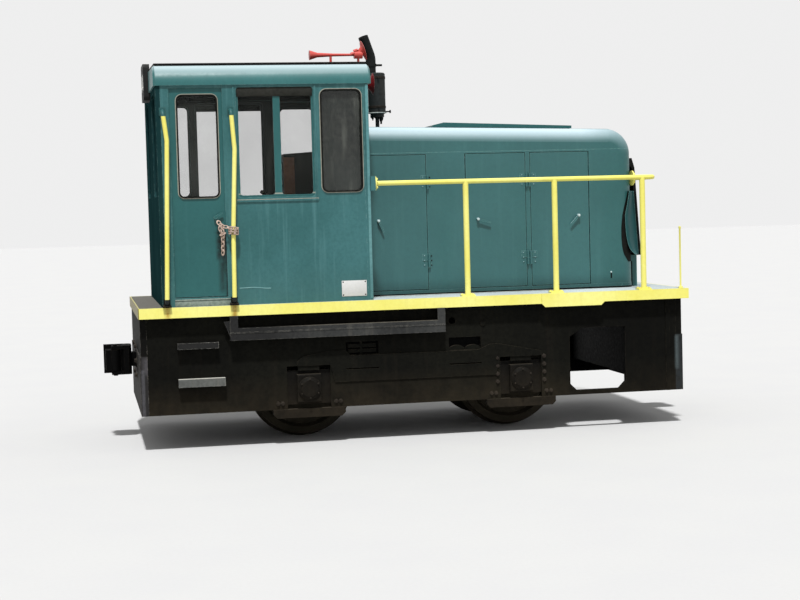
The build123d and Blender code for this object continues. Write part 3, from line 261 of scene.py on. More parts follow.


# On the right door: the painted shadow of the hanging chain, a dark scrape below it, and the painted shadow
# of the grab rail beside the door's edge
doorStains = (stain((-1.764, -1.676), (1.620, 1.866), 0.016, (6, 12, 11), 0.95),
              stain((-1.744, -1.708), (1.345, 1.660), 0.022, (8, 15, 14), 0.85),
              stain((-1.694, -1.650), (1.235, 1.640), 0.012, (5, 10, 9)))
# Brownish marks on the yellow band below each grab rail's foot
railFootStains = [stain((middle - 0.022, middle + 0.022), (1.10, 1.24), 0.014, (176, 140, 50), 0.9)
                  for middle in (-2.204, -1.636)]
frameStains = (stain((1.25, 2.34), (0.20, 1.12), 0.14, (10, 10, 9), 0.6, 4.0),
               stain((2.345, 2.409), (0.20, 0.81), 0.003, (46, 49, 50), 0.95),
               stain((2.345, 2.372), (0.50, 0.80), 0.014, (92, 104, 106), 0.6, 90.0))
rearPlateStains = (stain((-2.443, -2.36), (0.20, 0.815), 0.002, (44, 43, 43)),
                   stain((-2.418, -2.36), (0.66, 0.80), 0.02, (98, 96, 100), 0.5, 70.0),
                   stain((-2.437, -2.41), (0.20, 0.70), 0.006, (120, 120, 126), 0.3, 50.0))

dust = srgb(96, 84, 66)
# Painted shade on the faces inside the cab
cabInside = srgb(42, 46, 43)
teal = coat(
    usual, (36, 90, 90), (42, 97, 97), (26, 72, 72), (150, 182, 178), streaks=(0.22, srgb(66, 116, 116)),
    mottle=0.22, rough=(0.30, 0.46), wear=0.5, shine=0.34, inside=cabInside)
yellow = coat(
    usual, (242, 234, 116), (250, 246, 148), (206, 190, 88), (120, 104, 70),
    streaks=(0.25, srgb(208, 194, 104)), mottle=0.16, rough=(0.35, 0.55), wear=0.5, chipScale=14.0,
    dents=0.1, shine=0.3, topTint=srgb(214, 204, 130), topAmount=0.25)
black = coat(
    usual, (12, 12, 11), (19, 18, 16), (6, 6, 6), (74, 68, 58), streaks=(0.3, srgb(36, 32, 27)),
    mottle=0.45, rough=(0.55, 0.8), wear=0.5, shine=0.06, heights=((0.30, 0.62, dust, 0.16),),
    topTint=srgb(70, 64, 54), topAmount=0.6, grain=0.4)
clean = dict(black, heights=())
looks = dict(
    cabPaint=coat(
        teal, (46, 96, 97), (60, 111, 113), streaks=(0.62, srgb(84, 132, 134)), mottle=0.3,
        heights=((1.22, 1.60, srgb(70, 106, 102), 0.35),)),
    # A painted highlight of sun and sky on the roof's upward faces
    roofPaint=coat(
        teal, (46, 100, 100), (54, 108, 108), streaks=(0.3, teal["streaks"][1]),
        topTint=srgb(190, 208, 212), topRange=(0.44, 0.90), topAmount=0.9),
    doorPaint=dict(teal, patches=doorStains),
    # A painted highlight of sun and sky on the hood's shoulders, weaker towards the front and on the flat
    # top, and a painted highlight along its edges
    hoodPaint=dict(
        teal, topTint=srgb(200, 220, 228), topRange=(-0.03, 0.84), topAmount=0.88,
        topFade=(1.65, 2.05, 1.0, 0.45), crown=(0.94, 0.995, 1.0, 0.25), rim=(0.55, srgb(104, 158, 156)),
        dents=0.35, dentScale=2.2, shine=0.42),
    # A darker teal as painted shade on the bent sheet, with a painted highlight along its edges
    sheetPaint=coat(
        teal, (24, 70, 72), (30, 78, 80), edge=0.008, rough=(0.5, 0.62), shine=0.15,
        rim=(0.8, srgb(110, 156, 154))),
    # A darker teal as painted shade on the rear wall
    rearWallPaint=coat(
        teal, (26, 54, 56), (34, 64, 66), (22, 40, 42), streaks=(0.4, srgb(50, 80, 82)), rough=(0.7, 0.9),
        shine=0.0),
    # A painted highlight on the vent's top
    ventPaint=dict(teal, topTint=srgb(120, 160, 158), topRange=(0.30, 0.90), topAmount=0.7),
    yellowPaint=dict(yellow, patches=railFootStains, zones=(("X", -2.4400, -2.4435, srgb(124, 114, 62)),)),
    handrailPaint=dict(yellow, zones=(("X", -0.3870, -0.3885, srgb(60, 110, 112)),)),
    grabPaint=dict(
        yellow, zones=(("Z", 2.834, 2.838, srgb(40, 88, 88)), ("Z", 1.300, 1.296, srgb(14, 22, 24)))),
    # Painted shade on the faces between the frame plates, in these two looks
    frameBlack=dict(black, hollow=(0.942, srgb(3, 3, 3))),
    frameSide=coat(
        black, (15, 15, 13), (23, 23, 19), hollow=(0.960, srgb(3, 3, 3)), shine=0.04, patches=frameStains),
    rearPlate=dict(
        black, zones=(("Z", 0.822, 0.808, srgb(34, 32, 30)),), wear=0.8, worn=srgb(150, 146, 138),
        patches=rearPlateStains),
    # A painted highlight on the tread tops, and painted shade on the upper step
    stepGrey=coat(
        clean, (84, 86, 84), (104, 106, 102), (52, 52, 50), (196, 194, 184),
        streaks=(0.4, srgb(124, 120, 110)), wear=0.8, shine=0.3, topTint=srgb(206, 204, 194), topAmount=0.8,
        zones=(("Z", 0.80, 0.81, srgb(12, 12, 11)),)),
    # Darker towards the channel's rear end, as painted shade
    channelGrey=coat(
        clean, (34, 35, 35), (56, 57, 56), (20, 21, 21), (128, 126, 118), streaks=(0.5, srgb(84, 82, 76)),
        wear=0.8, shine=0.3, topTint=srgb(104, 98, 86), zones=(("X", -0.9, -1.35, srgb(17, 17, 17)),)),
    # Darker at the deck's rear end: painted shade, standing in for the shadows of things lying there
    deckGrey=coat(
        clean, (180, 190, 192), (200, 210, 212), (132, 136, 134), (200, 200, 192),
        rough=(0.6, 0.85), wear=0.6, grain=0.6, grainDepth=0.003, fineScale=60.0, topAmount=0.0,
        zones=(("X", -1.95, -2.25, srgb(100, 98, 92)),)),
    wheelSteel=coat(
        black, (27, 28, 23), (40, 38, 32), (13, 13, 12), (120, 112, 100), metal=0.2, wear=0.7,
        topAmount=0.3),
    engineGrey=coat(black, (70, 74, 74), (84, 88, 86), (34, 34, 32), (130, 128, 120), shine=0.3),
    mufflerBlack=coat(
        black, (24, 28, 29), (34, 39, 39), (14, 14, 14), streaks=(0.4, srgb(58, 54, 46)), shine=0.25,
        topAmount=0.3),
    pipeBlack=coat(
        black, (14, 16, 16), (26, 28, 28), (7, 8, 8), (64, 58, 52), streaks=(0.3, srgb(38, 38, 36)),
        shine=0.15, topAmount=0.2),
    # A painted highlight on the horn's tops, and painted shade low on the horn, on its front bell
    hornRed=coat(
        yellow, (196, 52, 46), (208, 92, 84), (150, 36, 32), (230, 204, 192), streaks=None,
        topTint=srgb(226, 140, 132), topAmount=0.6, zones=(("Z", 3.262, 3.258, srgb(112, 22, 26)),)),
    sashPaint=dict(
        teal, zones=(("Z", 2.178, 2.174, srgb(150, 156, 144)), ("Z", 2.166, 2.163, teal["base"]))),
    # Beige; on the sliding window's sill it is a painted highlight
    beige=coat(
        clean, (158, 156, 142), (176, 174, 160), (104, 102, 90), (208, 206, 194),
        streaks=(0.35, srgb(118, 116, 104)), shine=0.4, topTint=srgb(196, 194, 182)),
    vinyl=coat(
        clean, (38, 36, 34), (50, 47, 44), (22, 21, 20), rough=(0.4, 0.62), shine=0.4, grain=0.5,
        fineScale=160.0),
    lampBlack=coat(clean, (24, 25, 25), (36, 36, 35), shine=0.25),
    cabinet=coat(clean, (44, 43, 40), (60, 58, 54), (24, 24, 22), shine=0.3),
    grilleBlack=coat(clean, (20, 21, 21), (30, 30, 29)),
    boltSteel=coat(
        black, (34, 32, 30), (52, 47, 42), (18, 17, 16), (118, 112, 102), metal=0.3, edge=0.002,
        fineScale=120.0),
    rust=coat(
        clean, (178, 152, 136), (208, 188, 174), (98, 70, 58), (206, 190, 176), rough=(0.6, 0.85),
        grain=0.6, fineScale=120.0, edge=0.002, shine=0.3),
    paleStrip=coat(
        clean, (112, 128, 120), (140, 150, 142), (64, 80, 74), (206, 204, 194),
        streaks=(0.6, srgb(96, 106, 98)), mottle=0.6, shine=0.3, topTint=srgb(190, 190, 180)),
    plateWhite=coat(
        clean, (206, 206, 204), (218, 218, 216), (176, 176, 170), (120, 120, 112),
        streaks=(0.2, srgb(184, 184, 178)), mottle=0.2, shine=0.4),
    # Black rubber; also used as painted shade in the hood's gaps and slot
    rubber=coat(clean, (20, 21, 20), (30, 31, 29), edge=0.002, topAmount=0.2),
    roofFelt=coat(
        clean, (14, 15, 15), (26, 27, 27), topTint=srgb(60, 60, 56), topAmount=0.5, rough=(0.75, 0.92)),
    brownTrim=coat(clean, (150, 108, 82), (166, 124, 98), (100, 70, 50), (150, 116, 86), shine=0.3),
    dialCream=coat(clean, (196, 192, 176), (206, 202, 188), (150, 144, 128), streaks=None, shine=0.5),
    mirrorMetal=coat(
        clean, (196, 196, 190), (210, 210, 204), (140, 138, 130), rough=(0.12, 0.25), metal=0.9, shine=0.5,
        streaks=None),
    doorGlass=coat(
        clean, (70, 76, 72), (90, 94, 90), (120, 122, 114), rough=(0.03, 0.08), wear=0.2, grain=0.02,
        dents=0.02, alpha=(0.08, 0.14), edge=0.001, shine=0.5, topAmount=0.0),
    lampGlass=coat(
        clean, (206, 208, 200), (216, 216, 208), (150, 148, 138), rough=(0.05, 0.15), alpha=(0.35, 0.45),
        edge=0.001, shine=0.5, streaks=None))
# Pale metal; on the handle knobs it is a painted glint
looks["knobMetal"] = coat(
    looks["paleStrip"], (196, 214, 214), (208, 224, 224), (120, 140, 140), rough=(0.25, 0.4), edge=0.002)
# A pale line as a painted highlight
looks["paleLine"] = coat(looks["paleStrip"], (176, 184, 182), (196, 202, 200))
# A dark tone as painted shade under the roof's eave
looks["blindCloth"] = coat(looks["rubber"], (44, 45, 41), (56, 56, 52))
# A lighter teal as a painted highlight
looks["beadPaint"] = coat(looks["cabPaint"], (84, 136, 140), (104, 154, 156))
# Lighter vertical streaks as painted reflection, and towards the cab's front an opaque film of dust and
# painted reflection
looks["cabGlass"] = coat(
    looks["doorGlass"], (32, 37, 34), (44, 50, 47), (74, 76, 70), streaks=(0.75, srgb(100, 103, 96)),
    streakScale=(9.0, 9.0, 1.3), mottle=0.5, dirtyBeyond=0.455)
surfaces = {name: weathered(name, look) for name, look in looks.items()}
print("materials made:", len(surfaces))

hoodDoorNames = ["hood_door_" + door + side for door in "abc" for side in ("_left", "_right")]
finishes = dict(
    cabPaint=("cab_wall_front", "cab_wall_left", "cab_wall_right"), rearWallPaint=("cab_wall_rear",),
    roofPaint=("cab_roof",), doorPaint=("cab_door_left", "cab_door_right"),
    hoodPaint=("hood_cover", "hood_sides", *hoodDoorNames), ventPaint=("hood_vent",),
    yellowPaint=("deck_edge",), grabPaint=("grab_rails",),
    handrailPaint=("handrail_left", "handrail_right"),
    frameBlack=("axle_boxes", "binder_bars", "brake_gear", "coupler_front", "coupler_rear",
        "draft_pockets", "frame_stretchers", "knuckle_front", "knuckle_rear"),
    frameSide=("end_plate_front", "frame_plate_left", "frame_plate_right"), rearPlate=("end_plate_rear",),
    channelGrey=("side_channels",), stepGrey=("foot_steps",), deckGrey=("deck_plate", "cab_floor"),
    wheelSteel=("wheelset_front", "wheelset_rear"), engineGrey=("engine_block", "traction_motor"),
    mufflerBlack=("muffler",), pipeBlack=("exhaust_pipe",), hornRed=("roof_horn",),
    sashPaint=("window_sashes",), cabGlass=("cab_glass",),
    doorGlass=("cab_door_glass_left", "cab_door_glass_right"),
    lampBlack=("headlight_front", "headlight_rear", "seat_pedestal"), cabinet=("control_stand",),
    grilleBlack=("radiator_core", "radiator_grille"), vinyl=("seat_cushion",))
for surface, names in finishes.items():
    for name in names:
        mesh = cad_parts[name].data
        mesh.materials.clear()
        mesh.materials.append(surfaces[surface])
print("every node has its finish")


# Pieces
def addObject(name, data):
    made = bpy.data.objects.new(name, data)
    stage.collection.objects.link(made)
    return made


def meshOf(name, bm):
    mesh = bpy.data.meshes.new(name)
    bm.to_mesh(mesh)
    bm.free()
    return mesh


def finishPiece(name, bm, surface, body="frame", angle=32):
    ops.recalc_face_normals(bm, faces=bm.faces)
    mesh = meshOf(name, bm)
    mesh.materials.append(surfaces[surface])
    mesh.shade_smooth()
    mesh.set_sharp_from_angle(angle=math.radians(angle))
    piece = addObject(name, mesh)
    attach(piece, body)
    return piece


def stamp(bm, template, matrix):
    before = len(bm.verts)
    bm.from_mesh(template)
    bm.verts.ensure_lookup_table()
    ops.transform(bm, matrix=matrix, verts=bm.verts[before:])


# Puts a shape that was made on its own into a larger one
def join(bm, shape, matrix=asBuilt):
    mesh = meshOf("shape", shape)
    stamp(bm, mesh, matrix)
    bpy.data.meshes.remove(mesh)


def addBlock(bm, low, high, edge=0.003, segments=2, turn=asBuilt):
    shape = bmesh.new()
    sized = Matrix.Diagonal((*(high - low), 1))
    ops.create_cube(shape, size=1, matrix=shift((low + high) / 2) @ sized)
    ops.bevel(shape, geom=shape.edges[:], offset=edge, segments=segments, profile=0.5,
              affect="EDGES")
    join(bm, shape, turn)


# A bar: its reach along X, Y and Z, how far its edges are rounded and in how many steps
def addBar(bm, turn, x, y, z, edge=0.003, steps=2):
    addBlock(bm, at(x[0], y[0], z[0]), at(x[1], y[1], z[1]), edge, steps, turn)


def finishBars(name, bars, surface, turns=(asBuilt,)):
    bm = bmesh.new()
    for turn in turns:
        for bar in bars:
            addBar(bm, turn, *bar)
    finishPiece(name, bm, surface)


# A ring with rounded corners in the XZ plane, pulled out to the right side
def addRing(bm, middle, width, height, corner, band, depth, turn=asBuilt):
    shape = bmesh.new()
    made = ops.create_grid(shape, x_segments=1, y_segments=1, size=0.5)
    ops.scale(shape, vec=(width, height, 1), verts=made["verts"])
    ops.bevel(shape, geom=shape.verts[:], offset=corner, segments=6, profile=0.5, affect="VERTICES")
    shape.faces.ensure_lookup_table()
    inner = shape.faces[0]
    ring = ops.inset_region(shape, faces=[inner], thickness=band, use_boundary=True,
                            use_even_offset=True)["faces"]
    ops.delete(shape, geom=[inner], context="FACES_ONLY")
    pulled = ops.extrude_face_region(shape, geom=ring)
    top = [item for item in pulled["geom"] if isinstance(item, bmesh.types.BMVert)]
    ops.translate(shape, vec=(0, 0, depth), verts=top)
    join(bm, shape, turn @ shift(middle) @ Matrix.Rotation(math.radians(90), 4, "X"))


def standing(direction):
    return direction.to_track_quat("Z", "Y").to_matrix().to_4x4()


# A turned shape: (radius, height) points spun round the local Z, then stood along a direction
def addTurned(bm, points, place, direction, steps=32):
    shape = bmesh.new()
    corners = [shape.verts.new((radius, 0, height)) for radius, height in points]
    lines = [shape.edges.new(pair) for pair in zip(corners, corners[1:])]
    ops.spin(shape, geom=corners + lines, cent=(0, 0, 0), axis=(0, 0, 1), angle=math.tau,
             steps=steps, use_merge=True)
    ops.remove_doubles(shape, verts=shape.verts, dist=mergeReach)
    join(bm, shape, shift(place) @ standing(direction))


def finishTurned(name, points, places, surface, steps=32, body="frame"):
    bm = bmesh.new()
    for place, direction in places:
        addTurned(bm, points, place, direction, steps)
    finishPiece(name, bm, surface, body)


# All as shares of the width over the flats, or of the screw's head
boltForm = dict(
    radius=0.56, high=0.5, middle=0.37, topFrom=0.6, bevel=0.07, washer=0.78, washerTop=0.74,
    washerHigh=0.16, washerMiddle=0.07)
screwForm = ((0, 0.16), (0.3, 0.14), (0.5, 0), (0.5, -0.15))
mergeReach = 0.00005


def boltTemplate(across, washer=True):
    bm = bmesh.new()
    size = {part: across * share for part, share in boltForm.items()}
    ops.create_cone(bm, cap_ends=True, segments=6, radius1=size["radius"], radius2=size["radius"],
                    depth=size["high"], matrix=shift((0, 0, size["middle"])))
    tops = [line for line in bm.edges if all(end.co.z > size["topFrom"] for end in line.verts)]
    ops.bevel(bm, geom=tops, offset=size["bevel"], segments=1, profile=0.5, affect="EDGES")
    if washer:
        ops.create_cone(bm, cap_ends=True, segments=12, radius1=size["washer"], radius2=size["washerTop"],
                        depth=size["washerHigh"],
                        matrix=shift((0, 0, size["washerMiddle"])))
    return meshOf("boltTemplate", bm)


def screwTemplate(across):
    bm = bmesh.new()
    addTurned(bm, [(across * radius, across * height) for radius, height in screwForm], Vector(),
              upward, 10)
    return meshOf("screwTemplate", bm)


def facing(place, direction, spin=0.0):
    return shift(place) @ standing(direction) @ Matrix.Rotation(spin, 4, "Z")


# Places spaced evenly round a circle: each with its angle and its two offsets
def around(ring, count, first=0.5):
    angles = [math.tau * (number + first) / count for number in range(count)]
    return [(angle, ring * math.cos(angle), ring * math.sin(angle)) for angle in angles]


def stampAll(name, template, places, surface, body="frame"):
    bm = bmesh.new()
    for place in places:
        stamp(bm, template, place)
    finishPiece(name, bm, surface, body=body)


outRight = Vector((0, -1, 0))
outLeft = Vector((0, 1, 0))
outFront = Vector((1, 0, 0))
outRear = Vector((-1, 0, 0))
upward = Vector((0, 0, 1))
downward = Vector((0, 0, -1))
sides = (("right", -1, outRight), ("left", 1, outLeft))
smallScrew = screwTemplate(0.013)

# Cab windows: a dark gasket in each opening with a thin beige lip round it
windowLip = dict(out=0.007, band=0.009, depth=0.005)
gasket = dict(inset=0.012, band=0.013, depth=0.0245)
fixedWindow = dict(x=-668, z=2581.5, width=0.358, height=0.881, corner=0.055, wall=-1025)
doorWindow = dict(x=-1897.5, z=2555, width=0.347, height=0.872, corner=0.050, wall=-1011)
lipOut = windowLip["out"]
for sideName, turn in zip(("right", "left"), cabSides):
    for part, window, body in (("fixed", fixedWindow, "frame"), ("door", doorWindow, "cab_door_" + sideName)):
        middle = at(window["x"], window["wall"], window["z"])
        wide, high, corner = window["width"], window["height"], window["corner"]
        lips, gaskets = bmesh.new(), bmesh.new()
        addRing(lips, middle, wide + 2 * lipOut, high + 2 * lipOut, corner + lipOut, windowLip["band"],
                windowLip["depth"], turn)
        addRing(gaskets, middle + Vector((0, gasket["inset"], 0)), wide, high, corner, gasket["band"],
                gasket["depth"], turn)
        finishPiece(part + "WindowLip_" + sideName, lips, "beige", body)
        finishPiece(part + "WindowGasket_" + sideName, gaskets, "rubber", body)

# Frames round the sliding window, a thin beige line below it as a painted highlight on its sill, and a dark
# strip across its top as painted shade under the roof's eave
slidingWindow = dict(
    frames=(((-1586, -880), (-1035, -1023), (2072, 2092), 0.004),
        ((-898, -884), (-1030, -1023), (2088, 3060)), ((-1594, -1580), (-1030, -1023), (2088, 3060))),
    sill=(((-1590, -878), (-1036, -1030), (2091, 2096), 0.002),),
    blind=(((-1560, -911), (-1022, -1013), (2968, 3044), 0.004),))
finishBars("slidingWindowMouldings", slidingWindow["frames"], "cabPaint", cabSides)
finishBars("slidingWindowSills", slidingWindow["sill"], "beige", cabSides)
finishBars("slidingWindowBlinds", slidingWindow["blind"], "blindCloth", cabSides)

# A bead on the cab's front corners, in a lighter teal as a painted highlight
cornerBead = ((-452, -426), (-1030, -1016), (1212, 3064), 0.005, 3)
finishBars("cabCornerBeads", [cornerBead], "beadPaint", hoodSides)

# Stop strips over each cab door and along its hinge side, on the outside, and its threshold
doorStops = (((-2150, -1655), (-1024.5, -1018.5), (3044, 3070), 0.001, 1),
             ((-2150, -2128), (-1024.5, -1018.5), (1268, 3044), 0.001, 1))
threshold = (((-2134, -1665), (-1029, -1022), (1203, 1248)), ((-2134, -1665), (-1033, -1018), (1250, 1262)))
finishBars("doorStops", doorStops, "doorPaint", cabSides)
finishBars("doorThresholds", threshold, "paleStrip", cabSides)

# Strips along the hood's foot that follow its rounded front corner; the lower, dark one is painted shade in
# the gap between the hood and the deck
hoodEnd = dict(rear=-425, front=2130, side=-550, corner=130, wall=4)
# Each strip: its finish, how far it stands out, its lower and upper edge
hoodStrips = (("hoodSkirts", "hoodPaint", 3, 1215, 1244), ("hoodSillStrips", "rubber", 5, 1203, 1215))


def addHoodStrip(bm, out, low, high, turn):
    middle = at(hoodEnd["front"] - hoodEnd["corner"], hoodEnd["side"] + hoodEnd["corner"], 0)
    outer, inner = hoodEnd["side"] - out, hoodEnd["side"] + hoodEnd["wall"]
    section = ((outer, low), (outer, high), (inner, high), (inner, low))
    shape = bmesh.new()
    face = shape.faces.new([shape.verts.new(at(hoodEnd["rear"], y, z)) for y, z in section])
    along = ops.extrude_face_region(shape, geom=[face])
    moved = [item for item in along["geom"] if isinstance(item, bmesh.types.BMVert)]
    ops.translate(shape, vec=(middle.x - hoodEnd["rear"] / 1000, 0, 0), verts=moved)
    end = [item for item in along["geom"] if isinstance(item, bmesh.types.BMFace)]
    ops.spin(shape, geom=end, cent=middle, axis=(0, 0, 1), angle=math.radians(90), steps=12)
    join(bm, shape, turn)


for name, surface, out, low, high in hoodStrips:
    bm = bmesh.new()
    for turn in hoodSides:
        addHoodStrip(bm, out, low, high, turn)
    finishPiece(name, bm, surface)

# A pale line on the deck beside the hood's foot, as a painted highlight
deckWear = ((-425, 1350), (-598, -557), (1201, 1204), 0.001, 1)
finishBars("deckWearStrips", [deckWear], "paleLine", hoodSides)

blankPlate = ((-702, -483), (-1029, -1024), (1239, 1375), 0.002)
plateRivets = dict(x=(-690, -495), y=-1029, z=(1251, 1363))
finishBars("blankPlate", [blankPlate], "plateWhite")
stampAll("blankPlateRivets", smallScrew, [
    facing(at(x, plateRivets["y"], z), outRight) for x in plateRivets["x"] for z in plateRivets["z"]],
    "boltSteel")

# A crease in the cab's right wall, ridged along its middle, in the lighter teal of the painted highlight
crease = dict(x=-1585, long=270, z=1341, high=10, swing=9, bend=5.2, y=-1025.5, ridge=2.5)
bm = bmesh.new()
ops.create_grid(bm, x_segments=12, y_segments=2, size=0.5)
for corner in bm.verts:
    share = corner.co.x + 0.5
    sway = crease["swing"] * math.sin(share * crease["bend"]) * share
    ridge = crease["ridge"] if abs(corner.co.y) < 0.1 else 0
    corner.co = at(crease["x"] + crease["long"] * share, crease["y"] - ridge,
                   crease["z"] + sway + corner.co.y * crease["high"])
finishPiece("wallCrease", bm, "beadPaint")
print("windows, strips and plate made")

# Roof covering: a copy of the roof's upper faces, thickened
covering = dict(merge=0.0002, upright=0.95, thick=0.018)
bm = bmesh.new()
bm.from_mesh(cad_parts["cab_roof"].data)
ops.remove_doubles(bm, verts=bm.verts, dist=covering["merge"])
bm.normal_update()
unwanted = [face for face in bm.faces if face.normal.z < covering["upright"]]
ops.delete(bm, geom=unwanted, context="FACES")
ops.recalc_face_normals(bm, faces=bm.faces)
ops.solidify(bm, geom=bm.faces, thickness=-covering["thick"])
finishPiece("roofCovering", bm, "roofFelt")

# Bolts of the handrails: at the posts' feet, and round the flanges on the cab and on the hood
railFeet = dict(x=(420, 1228, 2045), dx=(-43, 43), y=(1036, 974), z=1212)
railEnds = dict(z=2207, ring=50, count=4, places=((-377, 1015, 1.0), (2142, 490, 1.05)))
flangeBolts = []
for side in (-1, 1):
    for x in railFeet["x"]:
        for dx in railFeet["dx"]:
            for y in railFeet["y"]:
                flangeBolts.append(facing(at(x + dx, side * y, railFeet["z"]), upward, dx))
    for _, dy, dz in around(railEnds["ring"], railEnds["count"]):
        for x, y, wider in railEnds["places"]:
            flangeBolts.append(facing(at(x, side * y + dy * wider, railEnds["z"] + dz * wider), outFront))
stampAll("railFlangeBolts", boltTemplate(0.018), flangeBolts, "yellowPaint")

# Hood doors: where the hinge line stands, which way the door lies from it, and its handle's X and Z
hoodDoors = dict(
    a=dict(hinge=170, way=-1, handle=(-278, 1877)),
    b=dict(hinge=1095, way=-1, handle=(640, 1869)),
    c=dict(hinge=1141, way=1, handle=(1591, 1878)))
hingeScrews = dict(aside=32, y=554, z=(2214, 1507), rows=(-42, 0, 42))
knobOut = 580
knobShape = ((0, 0.007), (0.008, 0.006), (0.0125, 0.002), (0.0125, -0.004), (0, -0.004))
fixedScrews = []
for door, hung in hoodDoors.items():
    aside = hung["way"] * hingeScrews["aside"]
    for sideName, side, out in sides:
        doorName = door + "_" + sideName
        leafScrews = []
        for level in hingeScrews["z"]:
            for row in hingeScrews["rows"]:
                for screws, x in ((leafScrews, hung["hinge"] + aside), (fixedScrews, hung["hinge"] - aside)):
                    screws.append(facing(at(x, side * hingeScrews["y"], level + row), out))
        stampAll("hingeScrews_" + doorName, smallScrew, leafScrews, "hoodPaint", "hood_door_" + doorName)
        # A pale knob on each handle's pivot, as a painted glint
        handleX, handleZ = hung["handle"]
        finishTurned("handleKnob_" + doorName, knobShape, [(at(handleX, side * knobOut, handleZ), out)],
                     "knobMetal", 16, "hood_door_" + doorName)
stampAll("hingeScrewsFixed", smallScrew, fixedScrews, "rubber")

# Bolts of the axle boxes' covers, of the pedestals' feet and along the front pedestals
axles = (-1007, 893)
coverRing = dict(count=6, ring=82, y=1049, z=457)
pedestal = dict(y=985, feet=(-273, -233, 233, 273), footZ=330, rows=(-215, 215), z=(430, 500, 570, 640))
frameBolts, coverBolts = [], []
for _, side, out in sides:
    for axle in axles:
        for angle, dx, dz in around(coverRing["ring"], coverRing["count"]):
            coverBolts.append(facing(at(axle + dx, side * coverRing["y"], coverRing["z"] + dz), out, angle))
        for reach in pedestal["feet"]:
            frameBolts.append(facing(at(axle + reach, side * pedestal["y"], pedestal["footZ"]), out, reach))
    for reach in pedestal["rows"]:
        for level in pedestal["z"]:
            frameBolts.append(facing(at(axles[1] + reach, side * pedestal["y"], level), out, level))
stampAll("axleBoxCoverBolts", boltTemplate(0.013, False), coverBolts, "boltSteel")
stampAll("pedestalBolts", boltTemplate(0.026), frameBolts, "boltSteel")

endPlates = dict(faces=((2413, outFront), (-2445, outRear)), y=(-210, 210), z=(560, 690, 820))
endBolts = [facing(at(x, y, z), out, z) for x, out in endPlates["faces"] for y in endPlates["y"]
            for z in endPlates["z"]]
stampAll("endPlateBolts", boltTemplate(0.034), endBolts, "boltSteel")
print("bolts and screws made")

# A long keyhole low on the hood, a dark bar as painted shade in the slot, with a lock above it
hoodSlot = ((1892, 1906), (-553, -548), (1290, 1338), 0.002)
hoodLock = dict(
    x=1899, z=1346, shape=((0, 0.006), (0.006, 0.005), (0.009, 0.001), (0.009, -0.003), (0, -0.003)))
finishBars("hoodSlots", [hoodSlot], "rubber", hoodSides)
lockPlace = at(hoodLock["x"], hoodEnd["side"], hoodLock["z"])
finishTurned("hoodLockBuds", hoodLock["shape"], [
    (turn @ lockPlace, turn.to_3x3() @ outRight) for turn in hoodSides], "knobMetal", 14)

# The bent sheet at the hood's front corner, and black pieces laid as painted shade in the gap behind it
# Each row: height, where the gap begins, where the sheet's free edge stands
sheetRows = (
    (1436, 2074, 2176), (1496, 2030, 2140), (1530, 2018, 2102), (1571, 2010, 2074), (1664, 2003, 2052),
    (1747, 2003, 2044), (1868, 2016, 2041), (1959, 2040, 2063), (2030, 2064, 2076), (2088, 2082, 2086))
sheet = dict(
    low=1500, high=2088, thick=0.003, behindFace=26, stand=14, leastOut=-558, screw=(2104, -520, 1612))
cornerGap = dict(
    low=1436, thick=0.001, out=1.5, last=2100, past=14,
    foot=((2126, 2156), (-404, -398), (1206, 1436), 0.001, 1))
# The radiator guard leans: its face stands further out towards its foot
guard = dict(
    side=-403, out=66, top=2305, high=815, lean=50, rim=28, thick=0.003, rear=(1492, 2340),
    face=(2300, 1492))


def sheetAt(height):
    for lower, upper in zip(sheetRows, sheetRows[1:]):
        if height <= upper[0]:
            part = (height - lower[0]) / (upper[0] - lower[0])
            return [lower[column] + (upper[column] - lower[column]) * part for column in (1, 2)]
    return sheetRows[-1][1:]


# The hood's side, which turns into its front with a rounded corner
def hoodSideAt(x):
    over = min(max(x - (hoodEnd["front"] - hoodEnd["corner"]), 0), hoodEnd["corner"])
    return hoodEnd["side"] + hoodEnd["corner"] - math.sqrt(hoodEnd["corner"] ** 2 - over ** 2)


def guardFaceAt(height):
    return hoodEnd["front"] + guard["out"] + (guard["top"] - height) / guard["high"] * guard["lean"]


def addCornerSheet(bm, thick, placed, low):
    shape = bmesh.new()
    ops.create_grid(shape, x_segments=9, y_segments=18, size=0.5)
    for corner in shape.verts:
        height = low + (sheet["high"] - low) * (corner.co.y + 0.5)
        corner.co = placed(corner.co.x + 0.5, height, *sheetAt(height))
    ops.recalc_face_normals(shape, faces=shape.faces)
    ops.solidify(shape, geom=shape.faces, thickness=thick)
    join(bm, shape)


def onCurledSheet(across, height, gap, edge):
    far = guardFaceAt(height) - sheet["behindFace"]
    ease = across * across * (3 - 2 * across)
    freeY = min(hoodSideAt(edge) - sheet["stand"], sheet["leastOut"])
    return at(edge + (far - edge) * across, freeY + (guard["side"] - freeY) * ease, height)


def onCornerGap(across, height, gap, edge):
    x = gap + (min(edge, cornerGap["last"]) + cornerGap["past"] - gap) * across
    return at(x, hoodSideAt(x) - cornerGap["out"], height)


bm = bmesh.new()
addCornerSheet(bm, sheet["thick"], onCurledSheet, sheet["low"])
stamp(bm, smallScrew, facing(at(*sheet["screw"]), outRight))
finishPiece("bentCornerSheet", bm, "sheetPaint")
bm = bmesh.new()
addCornerSheet(bm, cornerGap["thick"], onCornerGap, cornerGap["low"])
addBar(bm, asBuilt, *cornerGap["foot"])
finishPiece("cornerGap", bm, "rubber")

# A thin upright rod at the deck's front corner, with a small collar at its foot
cornerRod = dict(
    foot=(2384, -1040, 1204),
    shape=((0, -0.004), (0.020, -0.004), (0.020, 0.012), (0.008, 0.018), (0.008, 0.530), (0.011, 0.536),
        (0.011, 0.552), (0, 0.556)))
finishTurned("cornerRod", cornerRod["shape"], [(at(*cornerRod["foot"]), upward)], "yellowPaint",
             14)

